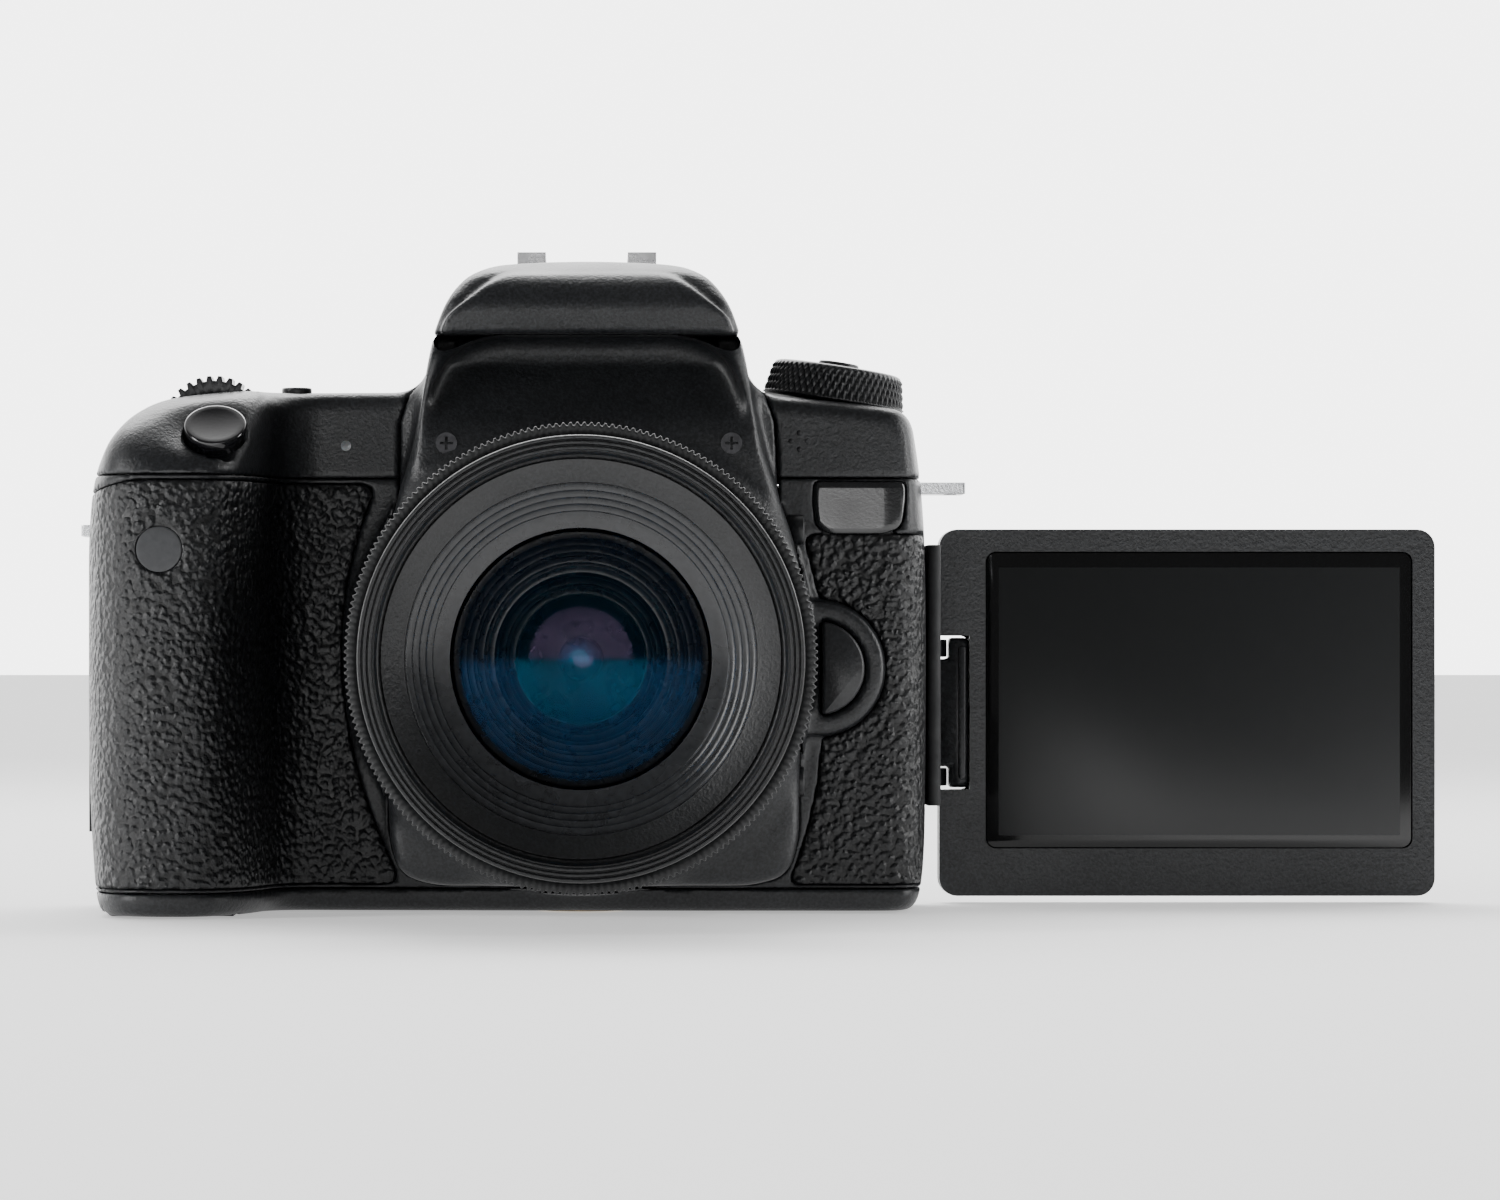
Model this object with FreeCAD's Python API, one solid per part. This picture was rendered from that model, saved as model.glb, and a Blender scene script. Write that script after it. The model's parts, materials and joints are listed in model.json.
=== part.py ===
import FreeCAD, Part
import math
import os

from FreeCAD import Vector

# A single-lens reflex camera with a kit zoom lens and a side-hinged screen swung open.
# Millimetres. +X is to the viewer's right when facing the lens, +Y runs to the back, +Z is up.
# The origin is the mouth of the tripod socket, straight under the lens axis.

# ---- body envelope -------------------------------------------------------------------------
BODY_WIDTH = 130.7
GRIP_SIDE_X = -75.5
BODY_RIGHT = GRIP_SIDE_X + BODY_WIDTH
BODY_BACK = 31.0
GRIP_FRONT = -34.0
GRIP_WIDTH = 24.5
VALLEY_Y = -8.0
FRONT_FACE_Y = -10.0
SHOULDER_Z = 79.0
SHOULDER_DROP = 3.1
SHOULDER_RUN = 20.0
AXIS_Z = 38.5
WALL = 2.2
RUBBER = 1.2
SEAM_TOP_Z = SHOULDER_Z - 13.0
SEAM_BOTTOM_Z = 3.6
SPLIT_Y = 9.0
GAP = 0.3
FIT = 0.08
SINK = 1.2

# ---- viewfinder hump and flash -------------------------------------------------------------
HUMP_X = 0.9
HUMP_RISE = 20.2
HUMP_TOP_Z = SHOULDER_Z + HUMP_RISE
HUMP_FRONT = -29.5
HUMP_BACK = 34.0
BROW_Z = HUMP_TOP_Z - 12.2
FLASH_PIVOT_Y = 6.0
FLASH_PIVOT_Z = BROW_Z + 3.0
FLASH_BACK_R = 15.4
FLASH_ARM_X = 19.6
FLASH_ARM_R = 7.2
FLASH_ARM_DROP = 3.0
FLASH_ARM_FRONT_R = 20.0
FLASH_PIN_R = 1.5
FLASH_LENS = (28.0, 12.0, 2.4)

# ---- lens panel and mount ------------------------------------------------------------------
PANEL_LEFT = -29.0
PANEL_RIGHT = 33.0
PANEL_FRONT = -21.5
PANEL_BOTTOM_Z = 4.2
PANEL_TOP_Z = BROW_Z - 2.6
FLANGE_Y = -24.0
MOUNT_R = 31.0
THROAT_R = 27.0
TAB_R = 25.2
TAB_THICK = 1.2
TAB_ANGLE = 58.0

# ---- lens ----------------------------------------------------------------------------------
LENS_LENGTH = 61.8
BARREL_R = 30.8
BARREL_BORE_R = 28.6
REAR_BARREL_R = 32.6
REAR_BARREL_LENGTH = 15.0
ZOOM_RING_R = 33.0
ZOOM_RING_LENGTH = 24.0
MID_BAND_R = 32.2
MID_BAND_LENGTH = 8.0
FOCUS_RING_R = 33.25
FOCUS_RING_LENGTH = 9.0
FRONT_RING_R = 31.4
FRONT_RING_LENGTH = 2.6
FILTER_R = 29.0
FILTER_DEPTH = 2.0
BEZEL_R = 21.0
FRONT_GLASS_R = 18.4
ZOOM_TRAVEL = 20.0

# ---- screen --------------------------------------------------------------------------------
SCREEN_WIDTH = 78.4
SCREEN_HEIGHT = 58.0
SCREEN_THICK = 7.0
SCREEN_CORNER_R = 2.6
SCREEN_BOTTOM_Z = 1.0
SCREEN_INNER_GAP = 1.7
HINGE_Y = BODY_BACK + 1.5
HINGE_X = BODY_RIGHT - 0.2
ARM_HALF_HEIGHT = 11.6
ARM_REACH = 6.4
KNUCKLE_R = 3.1
KNUCKLE_HEIGHT = 2.8
HINGE_PIN_R = 1.2
TILT_PIN_R = 1.9
TILT_PIN_LENGTH = 4.0
GLASS_MARGIN = (7.4, 3.6, 3.6, 7.6)
GLASS_THICK = 1.0
BEZEL_THICK = 2.6
DISPLAY_RECESS = GAP + 0.3

# ---- top controls --------------------------------------------------------------------------
SHUTTER_AT = (-54.6, -26.0)
SHUTTER_R = 4.65
SHUTTER_TRAVEL = 1.4
GRIP_SLOPE_DEG = 40.5
MAIN_DIAL_R = 8.0
MAIN_DIAL_WIDTH = 7.6
MAIN_DIAL_X = -55.5
MAIN_DIAL_Y = -9.5
MAIN_DIAL_PROUD = 2.4
MODE_DIAL_R = 11.0
MODE_DIAL_TOP_R = 10.0
MODE_DIAL_HEIGHT = 5.4
MODE_DIAL_FROM_RIGHT = 16.4
MODE_DIAL_Y = 4.0
MODE_LOCK_R = 3.1
MODE_LOCK_PROUD = 0.9
SHAFT_R = 4.0
SWITCH_R = 4.6
SWITCH_Y = MODE_DIAL_Y + MODE_DIAL_R + SWITCH_R + 1.9
SWITCH_HEIGHT = 2.6
STATUS_DISPLAY = (22.0, 17.0, 1.6)
STATUS_DISPLAY_AT = (-43.5, 16.0)
SHOE_WIDTH = 21.4
SHOE_LENGTH = 18.0
SHOE_SLOT_WIDTH = 18.7
SHOE_OPENING = 12.6
SHOE_SLOT_HEIGHT = 2.05
SHOE_LIP = 0.75
SHOE_BASE = 0.8
SHOE_SINK = 0.9
SHOE_FRONT_Y = 2.0

# ---- rear controls -------------------------------------------------------------------------
CONTROL_AT = (-50.5, 29.0)
CONTROL_DIAL_R = 14.5
CONTROL_PAD_R = 9.0
SET_BUTTON_R = 4.3
CONTROL_PROUD = 1.3
CONTROL_RECESS = 1.6
EYEPIECE_Z = SHOULDER_Z + 2.5
EYEPIECE = (20.0, 14.0)
EYECUP = (36.0, 25.0)
EYECUP_DEPTH = 7.5
KNOB_R = 3.2
KNOB_PROUD = 2.6

# ---- doors and sides -----------------------------------------------------------------------
DOOR_THICK = 2.0
DOOR_BACKING = 1.2
TERMINAL_HEIGHT = 40.0
TERMINAL_WIDTH = 11.6
TERMINAL_FRONT_Y = -1.6
TERMINAL_PITCH = 12.8
TERMINAL_BOTTOM_Z = 16.0
CARD_DOOR = (22.0, 38.0)
CARD_DOOR_REAR_Y = 22.0
CARD_DOOR_BOTTOM_Z = 12.0
BATTERY = (14.0, 33.0, 49.4)
BATTERY_AT = (-70.0, -22.0)
DOOR_MARGIN = 3.0
LATCH = (3.4, 9.0, 1.0)
LATCH_TRAVEL = 2.0
RELEASE_X = 35.8
RELEASE_Z = AXIS_Z - 1.4
RELEASE_R = 7.1
RELEASE_FLAT_X = 36.5
RELEASE_PROUD = 5.0
RELEASE_COLLAR = 3.0
RELEASE_COLLAR_HEIGHT = 3.4
LUG = (4.6, 9.0, 1.8)
LUG_SLOT = (1.8, 6.0)
LUG_ROOT = 3.4
# side wall, side, middle along y, top z of each strap lug; the grip's one stands in a recess
RIGHT_LUG = (BODY_RIGHT - 0.6, 1, SPLIT_Y - 2.0, SEAM_TOP_Z - GAP)
LEFT_LUG = (GRIP_SIDE_X + 2.2, -1, 18.5, 59.4)
LUG_RECESS = (2.4, 2.6, 2.6)
SOCKET_R = 6.5
THREAD_R = 3.175
THREAD_DEPTH = 6.0
SOCKET_HEIGHT = 8.0

# ---- inside --------------------------------------------------------------------------------
MIRROR_BOX = (42.0, 44.0)
MIRROR_BOX_WALL = 1.6
MIRROR_BOX_BACK = 12.0
SHUTTER_THICK = 3.2
SENSOR = (30.0, 24.0, 2.2)
IMAGE_PLANE_Y = FLANGE_Y + 44.0
BOARD = (82.0, 52.0, 1.4)
MIRROR_SIZE = (32.0, 25.0, 1.2)
MIRROR_PIVOT_R = 0.7
IMAGE_GATE = (37.0, 25.0)
SHUTTER_GATE = (36.0, 24.4)
SCREEN_WINDOW = (32.0, -12.0, 8.0)
FOCUSING_SCREEN = (34.0, -13.0, 9.0, 1.2)
PENTAMIRROR_WIDTH = 28.0

# name: (x, z, radius, proud) of the round buttons on the back
REAR_BUTTONS = {
    "menu_button": (BODY_RIGHT - 12.0, SEAM_TOP_Z + 5.0, 2.9, 0.9),
    "info_button": (BODY_RIGHT - 21.0, SEAM_TOP_Z + 5.0, 2.9, 0.9),
    "live_view_button": (-28.0, SEAM_TOP_Z + 5.5, 3.2, 0.9),
    "af_on_button": (-43.0, SEAM_TOP_Z + 5.5, 3.4, 1.0),
    "playback_button": (-34.0, 9.0, 2.8, 0.8),
}
BUTTON_STEM = 3.6
BUTTON_TRAVEL = 0.6
BUTTON_CLEARANCE = 0.2
SIDE_BUTTON_R = 2.3
SIDE_BUTTON_Y = -15.6
FLASH_BUTTON_Z = AXIS_Z + 19.5
PREVIEW_BUTTON_Z = AXIS_Z - 18.5
TOP_BUTTON_AT = (-43.5, -2.5)
TOP_BUTTON_R = 2.3
TOP_BUTTON_PROUD = 1.0

# ---- lamp, remote window and screws --------------------------------------------------------
LAMP_AT = (-35.8, SEAM_TOP_Z + 5.0)
LAMP_R = 2.4
LAMP_DEPTH = 8.0
WINDOW_AT = (-62.7, AXIS_Z + 16.3)
WINDOW_R = 3.4
SCREW_R = 1.6
SCREW_HEIGHT = 1.2
SCREW_SINK = 0.15
CROSS = (2.0, 0.4, 0.5)
PANEL_SCREWS = ((-20.2, AXIS_Z + 32.4), (22.6, AXIS_Z + 32.4))
BASE_SCREWS = ((-46.0, -1.0), (-46.0, 26.0), (22.0, -4.0), (22.0, 25.0), (46.0, 0.0), (46.0, 25.0))

FAR = 400.0
SHAPES = {}


# ---- helpers -------------------------------------------------------------------------------
def box(x0, x1, y0, y1, z0, z1):
    """Box between two corners."""
    return Part.makeBox(x1 - x0, y1 - y0, z1 - z0, Vector(x0, y0, z0))


def rod(at, axis, radius, length):
    """Cylinder from a point along an axis."""
    return Part.makeCylinder(radius, length, Vector(*at), Vector(*axis))


def tube(at, axis, outer, inner, length):
    """Hollow cylinder from a point along an axis."""
    return rod(at, axis, outer, length).cut(rod(at, axis, inner, length))


def rounded_face(points, place):
    """Flat face through (a, b, radius) corners; place turns (a, b) into a point in space."""
    edges = []
    ends = []
    count = len(points)
    for i, (a, b, radius) in enumerate(points):
        here = Vector(a, b, 0)
        before = Vector(*points[i - 1][:2], 0)
        after = Vector(*points[(i + 1) % count][:2], 0)
        to_before = (before - here).normalize()
        to_after = (after - here).normalize()
        if radius <= 0:
            ends.append((here, None, here))
            continue
        half = to_before.getAngle(to_after) / 2
        run = radius / math.tan(half)
        middle = (to_before + to_after).normalize()
        centre = here + middle * (radius / math.sin(half))
        ends.append((here + to_before * run, centre - middle * radius, here + to_after * run))
    for i, (start, bend, end) in enumerate(ends):
        if bend is not None:
            edges.append(Part.Arc(place(start), place(bend), place(end)).toShape())
        following = ends[(i + 1) % count][0]
        edges.append(Part.LineSegment(place(end), place(following)).toShape())
    return Part.Face(Part.Wire(edges))


def in_plan(p):
    return Vector(p.x, p.y, 0)


def in_front_view(p):
    return Vector(p.x, 0, p.y)


def in_side_view(p):
    return Vector(0, p.x, p.y)


def swept(points, place, start, end, inset=0.0):
    """Outline drawn in one view and extruded across it between two places."""
    face = rounded_face(points, place)
    if inset:
        face = face.makeOffset2D(-inset)
    across = {in_plan: Vector(0, 0, 1), in_front_view: Vector(0, 1, 0), in_side_view: Vector(1, 0, 0)}[place]
    face.translate(across * start)
    return face.extrude(across * (end - start))


def turned(profile, y_from):
    """Solid of revolution about the lens axis from (radius, distance forward of y_from) points."""
    points = [Vector(r, y_from - d, AXIS_Z) for r, d in profile]
    wire = Part.makePolygon(points + [points[0]])
    return Part.Face(wire).revolve(Vector(0, 0, AXIS_Z), Vector(0, 1, 0), 360)


def facing(shape, at, direction):
    """Shape built upright at the origin, moved to a point with +Z turned to a direction."""
    out = shape.copy()
    out.Placement = FreeCAD.Placement(Vector(*at), FreeCAD.Rotation(Vector(0, 0, 1), Vector(*direction)))
    return out


def sector(inner, outer, start_deg, sweep_deg, y_front, length):
    """Curved tab about the lens axis."""
    ring = Part.makeCylinder(outer, length, Vector(0, 0, 0), Vector(0, 0, 1), sweep_deg)
    ring = ring.cut(Part.makeCylinder(inner, length, Vector(0, 0, 0), Vector(0, 0, 1), 360))
    ring.rotate(Vector(0, 0, 0), Vector(0, 0, 1), start_deg)
    ring.rotate(Vector(0, 0, 0), Vector(1, 0, 0), -90)
    ring.translate(Vector(0, y_front, AXIS_Z))
    return ring


def push_button(radius, proud, stem=BUTTON_STEM):
    """Round push button, its cap's seat at z = 0."""
    cap = Part.makeCylinder(radius, proud + SINK, Vector(0, 0, -SINK))
    rod_r = radius * 0.55
    return cap.fuse(Part.makeCylinder(rod_r, stem + SINK, Vector(0, 0, -SINK - stem)))


def button_bore(radius, travel=BUTTON_TRAVEL, stem=BUTTON_STEM):
    """Stepped hole for a round push button."""
    deep = SINK + travel + 0.1
    well = Part.makeCylinder(radius + BUTTON_CLEARANCE, deep + 8.0, Vector(0, 0, -deep))
    rod_r = radius * 0.55 + BUTTON_CLEARANCE
    return well.fuse(Part.makeCylinder(rod_r, stem + 6.0, Vector(0, 0, -deep - stem - 4.0)))


# ---- outer form ----------------------------------------------------------------------------
def body_plan():
    grip_inner = GRIP_SIDE_X + GRIP_WIDTH
    return [
        (GRIP_SIDE_X, BODY_BACK, 7.0),
        (GRIP_SIDE_X, GRIP_FRONT, 13.0),
        (grip_inner, GRIP_FRONT, 9.0),
        (grip_inner + 5.5, VALLEY_Y, 6.0),
        (BODY_RIGHT, FRONT_FACE_Y, 8.5),
        (BODY_RIGHT, BODY_BACK, 7.0),
    ]


def body_front_view():
    return [
        (GRIP_SIDE_X + 2.0, 0.0, 3.0),
        (GRIP_SIDE_X, 12.0, 8.0),
        (GRIP_SIDE_X, SHOULDER_Z - 16.0, 14.0),
        (GRIP_SIDE_X + 8.7, SHOULDER_Z - 2.6, 6.0),
        (GRIP_SIDE_X + 15.5, SHOULDER_Z, 6.0),
        (BODY_RIGHT - 5.0 - SHOULDER_RUN, SHOULDER_Z, 6.0),
        (BODY_RIGHT - 5.0, SHOULDER_Z - SHOULDER_DROP, 3.0),
        (BODY_RIGHT - 2.0, SEAM_TOP_Z, 4.0),
        (BODY_RIGHT, SEAM_TOP_Z - 9.0, 8.0),
        (BODY_RIGHT, 14.0, 10.0),
        (BODY_RIGHT - 3.6, 0.0, 3.0),
    ]


def body_side_view():
    slope_run = (SHOULDER_Z + 1.6 - SEAM_TOP_Z) / math.tan(math.radians(GRIP_SLOPE_DEG))
    return [
        (GRIP_FRONT, 0.0, 2.5),
        (GRIP_FRONT, SEAM_TOP_Z, 4.0),
        (GRIP_FRONT + slope_run, SHOULDER_Z + 1.6, 3.0),
        (BODY_BACK, SHOULDER_Z + 1.6, 3.0),
        (BODY_BACK, 0.0, 2.5),
    ]


def body_solid(inset=0.0):
    """Main body as the common part of its three views."""
    solid = swept(body_plan(), in_plan, -FAR, FAR, inset)
    solid = solid.common(swept(body_front_view(), in_front_view, -FAR, FAR, inset))
    return solid.common(swept(body_side_view(), in_side_view, -FAR, FAR, inset))


def hump_front_view():
    half = [
        (30.0, 0.2, 4.0),
        (25.6, 4.2, 4.0),
        (23.2, 9.7, 6.0),
        (20.8, 14.8, 5.0),
        (16.0, 19.2, 5.0),
        (9.0, HUMP_RISE, 12.0),
    ]
    right = [(HUMP_X + x, SHOULDER_Z + rise, r) for x, rise, r in half]
    left = [(HUMP_X - x, z, r) for x, (_, z, r) in zip([row[0] for row in half], right)]
    foot = SEAM_TOP_Z - 2.0
    return [(HUMP_X - half[0][0], foot, 0.0)] + left + right[::-1] + [(HUMP_X + half[0][0], foot, 0.0)]


def hump_side_view():
    return [
        (PANEL_FRONT + 1.0, SEAM_TOP_Z - 2.0, 0.0),
        (PANEL_FRONT + 1.0, PANEL_TOP_Z, 2.0),
        (HUMP_FRONT + 1.0, BROW_Z - 0.4, 1.0),
        (HUMP_FRONT, BROW_Z + 5.0, 4.0),
        (HUMP_FRONT + 3.4, BROW_Z + 9.4, 3.0),
        (HUMP_FRONT + 12.0, HUMP_TOP_Z, 12.0),
        (SHOE_FRONT_Y + SHOE_LENGTH + 1.0, HUMP_TOP_Z, 4.0),
        (HUMP_BACK, HUMP_TOP_Z - 6.2, 5.0),
        (HUMP_BACK, SEAM_TOP_Z - 2.0, 0.0),
    ]


def hump_solid(inset=0.0):
    """Viewfinder hump as the common part of two views."""
    solid = swept(hump_front_view(), in_front_view, -FAR, FAR, inset)
    return solid.common(swept(hump_side_view(), in_side_view, -FAR, FAR, inset))


def panel_front_view():
    return [
        (PANEL_LEFT, PANEL_BOTTOM_Z, 7.0),
        (PANEL_RIGHT, PANEL_BOTTOM_Z, 7.0),
        (PANEL_RIGHT, AXIS_Z + 23.0, 10.0),
        (HUMP_X + 23.5, PANEL_TOP_Z, 0.0),
        (HUMP_X - 23.5, PANEL_TOP_Z, 0.0),
        (PANEL_LEFT, AXIS_Z + 23.0, 10.0),
    ]


def panel_solid(inset=0.0, behind=0.0):
    """Raised front that carries the lens mount."""
    return swept(panel_front_view(), in_front_view, PANEL_FRONT + inset, FRONT_FACE_Y + 3.0 + behind, inset)


def flash_zone(gap):
    """Room that the flash head and its arms take, grown by a gap."""
    pivot = (-FAR, FLASH_PIVOT_Y, FLASH_PIVOT_Z)
    middle = box(-FAR, FAR, -FAR, FLASH_PIVOT_Y, BROW_Z - gap, FAR)
    middle = middle.cut(rod(pivot, (1, 0, 0), FLASH_BACK_R - gap, 2 * FAR))
    arm = box(-FAR, FAR, -FAR, FLASH_PIVOT_Y, BROW_Z - FLASH_ARM_DROP - gap, FAR)
    arm = arm.common(rod(pivot, (1, 0, 0), FLASH_ARM_FRONT_R + gap, 2 * FAR))
    arm = arm.fuse(rod(pivot, (1, 0, 0), FLASH_ARM_R + gap, 2 * FAR))
    inner = FLASH_ARM_X - gap
    arm = arm.cut(box(HUMP_X - inner, HUMP_X + inner, -FAR, FAR, -FAR, FAR))
    return middle.fuse(arm)


def shoulder_frame(shape, y):
    """Shape built upright, stood on the sloping shoulder at the mode dial's place."""
    tilt = math.degrees(math.atan2(SHOULDER_DROP, SHOULDER_RUN))
    x = BODY_RIGHT - MODE_DIAL_FROM_RIGHT
    z = SHOULDER_Z - (x - (BODY_RIGHT - 5.0 - SHOULDER_RUN)) * SHOULDER_DROP / SHOULDER_RUN
    out = shape.copy()
    out.Placement = FreeCAD.Placement(Vector(x, y, z), FreeCAD.Rotation(Vector(0, 1, 0), tilt))
    return out


# ---- screen --------------------------------------------------------------------------------
SCREEN_LEFT = HINGE_X + SCREEN_INNER_GAP
SCREEN_RIGHT = SCREEN_LEFT + SCREEN_WIDTH
SCREEN_TOP_Z = SCREEN_BOTTOM_Z + SCREEN_HEIGHT
TILT_Z = SCREEN_BOTTOM_Z + SCREEN_HEIGHT / 2
SCREEN_FRONT = HINGE_Y - SCREEN_THICK / 2
SCREEN_REAR = HINGE_Y + SCREEN_THICK / 2
ARM_END = HINGE_X + ARM_REACH


def screen_outline():
    r = SCREEN_CORNER_R
    return [
        (SCREEN_LEFT, SCREEN_BOTTOM_Z, r),
        (SCREEN_RIGHT, SCREEN_BOTTOM_Z, r),
        (SCREEN_RIGHT, SCREEN_TOP_Z, r),
        (SCREEN_LEFT, SCREEN_TOP_Z, r),
    ]


def make_screen():
    """Hinge arm, rear shell, front bezel and cover glass, open and facing forwards."""
    notch_half = math.hypot(ARM_HALF_HEIGHT, SCREEN_THICK / 2 - GAP) + GAP
    notch = box(SCREEN_LEFT - 1.0, ARM_END + GAP, -FAR, FAR, TILT_Z - notch_half, TILT_Z + notch_half)
    pin_at = (ARM_END - 0.5, HINGE_Y, TILT_Z)
    pin_bore = rod(pin_at, (1, 0, 0), TILT_PIN_R + FIT, TILT_PIN_LENGTH + 1.0)
    whole = swept(screen_outline(), in_front_view, SCREEN_FRONT, SCREEN_REAR).cut(notch)
    left, right, top, bottom = GLASS_MARGIN
    glass_box = (SCREEN_LEFT + left, SCREEN_RIGHT - right, SCREEN_BOTTOM_Z + bottom, SCREEN_TOP_Z - top)
    x0, x1, z0, z1 = glass_box
    pane = [(x0, z0, 1.6), (x1, z0, 1.6), (x1, z1, 1.6), (x0, z1, 1.6)]
    bezel_back = SCREEN_FRONT + BEZEL_THICK
    glass = swept(pane, in_front_view, SCREEN_FRONT + 0.2, SCREEN_FRONT + 0.2 + GLASS_THICK)
    display = swept(pane, in_front_view, SCREEN_FRONT + 0.2 + GLASS_THICK, bezel_back, 1.2)
    opening = swept(pane, in_front_view, SCREEN_FRONT - 1.0, SCREEN_FRONT + 0.2 + GLASS_THICK)
    bezel = whole.common(box(-FAR, FAR, SCREEN_FRONT, bezel_back, -FAR, FAR)).cut(opening).cut(display)
    back = whole.common(box(-FAR, FAR, bezel_back, SCREEN_REAR, -FAR, FAR)).cut(pin_bore)
    bezel = bezel.cut(pin_bore)
    hollow = box(x0 + 1.0, x1 - 1.0, bezel_back, SCREEN_REAR - 1.8, z0 + 1.0, z1 - 1.0)
    pin_end = ARM_END + TILT_PIN_LENGTH + 2.5
    pin_room = box(ARM_END, pin_end, bezel_back, SCREEN_REAR, TILT_Z - 4.0, TILT_Z + 4.0)
    back = back.cut(hollow.cut(pin_room))
    back = back.fuse(pin_room.common(whole).cut(pin_bore))
    SHAPES["screen_back"] = back
    SHAPES["screen_bezel"] = bezel
    SHAPES["screen_display"] = Part.makeCompound([glass, display])

    low = TILT_Z - ARM_HALF_HEIGHT
    high = TILT_Z + ARM_HALF_HEIGHT
    barrel_low = low + KNUCKLE_HEIGHT + GAP
    barrel_high = high - KNUCKLE_HEIGHT - GAP
    thin = SCREEN_THICK / 2 - GAP
    arm = rod((HINGE_X, HINGE_Y, barrel_low), (0, 0, 1), KNUCKLE_R, barrel_high - barrel_low)
    arm = arm.fuse(box(HINGE_X, ARM_END, HINGE_Y - thin + 0.1, HINGE_Y + thin, barrel_low, barrel_high))
    arm = arm.fuse(box(HINGE_X + KNUCKLE_R + GAP, ARM_END, HINGE_Y - thin, HINGE_Y + thin, low, high))
    arm = arm.fuse(rod((ARM_END - 0.5, HINGE_Y, TILT_Z), (1, 0, 0), TILT_PIN_R, TILT_PIN_LENGTH))
    pin = rod((HINGE_X, HINGE_Y, low + 0.4), (0, 0, 1), HINGE_PIN_R, high - low - 0.8)
    SHAPES["hinge_arm"] = arm.fuse(pin)
    return low, high


def knuckles(low, high):
    """Two fixed knuckles that hold the hinge arm's pin, with their feet on the rear cover."""
    out = None
    root_y = SCREEN_FRONT - DISPLAY_RECESS
    for z0 in (low, high - KNUCKLE_HEIGHT):
        piece = rod((HINGE_X, HINGE_Y, z0), (0, 0, 1), KNUCKLE_R, KNUCKLE_HEIGHT)
        foot = box(HINGE_X - KNUCKLE_R, HINGE_X, root_y, HINGE_Y, z0, z0 + KNUCKLE_HEIGHT)
        piece = piece.fuse(foot)
        piece = piece.common(box(-FAR, FAR, root_y, FAR, -FAR, FAR))
        bore = rod((HINGE_X, HINGE_Y, z0 - 1.0), (0, 0, 1), HINGE_PIN_R + FIT, KNUCKLE_HEIGHT + 2.0)
        piece = piece.cut(bore)
        out = piece if out is None else out.fuse(piece)
    return out


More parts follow.
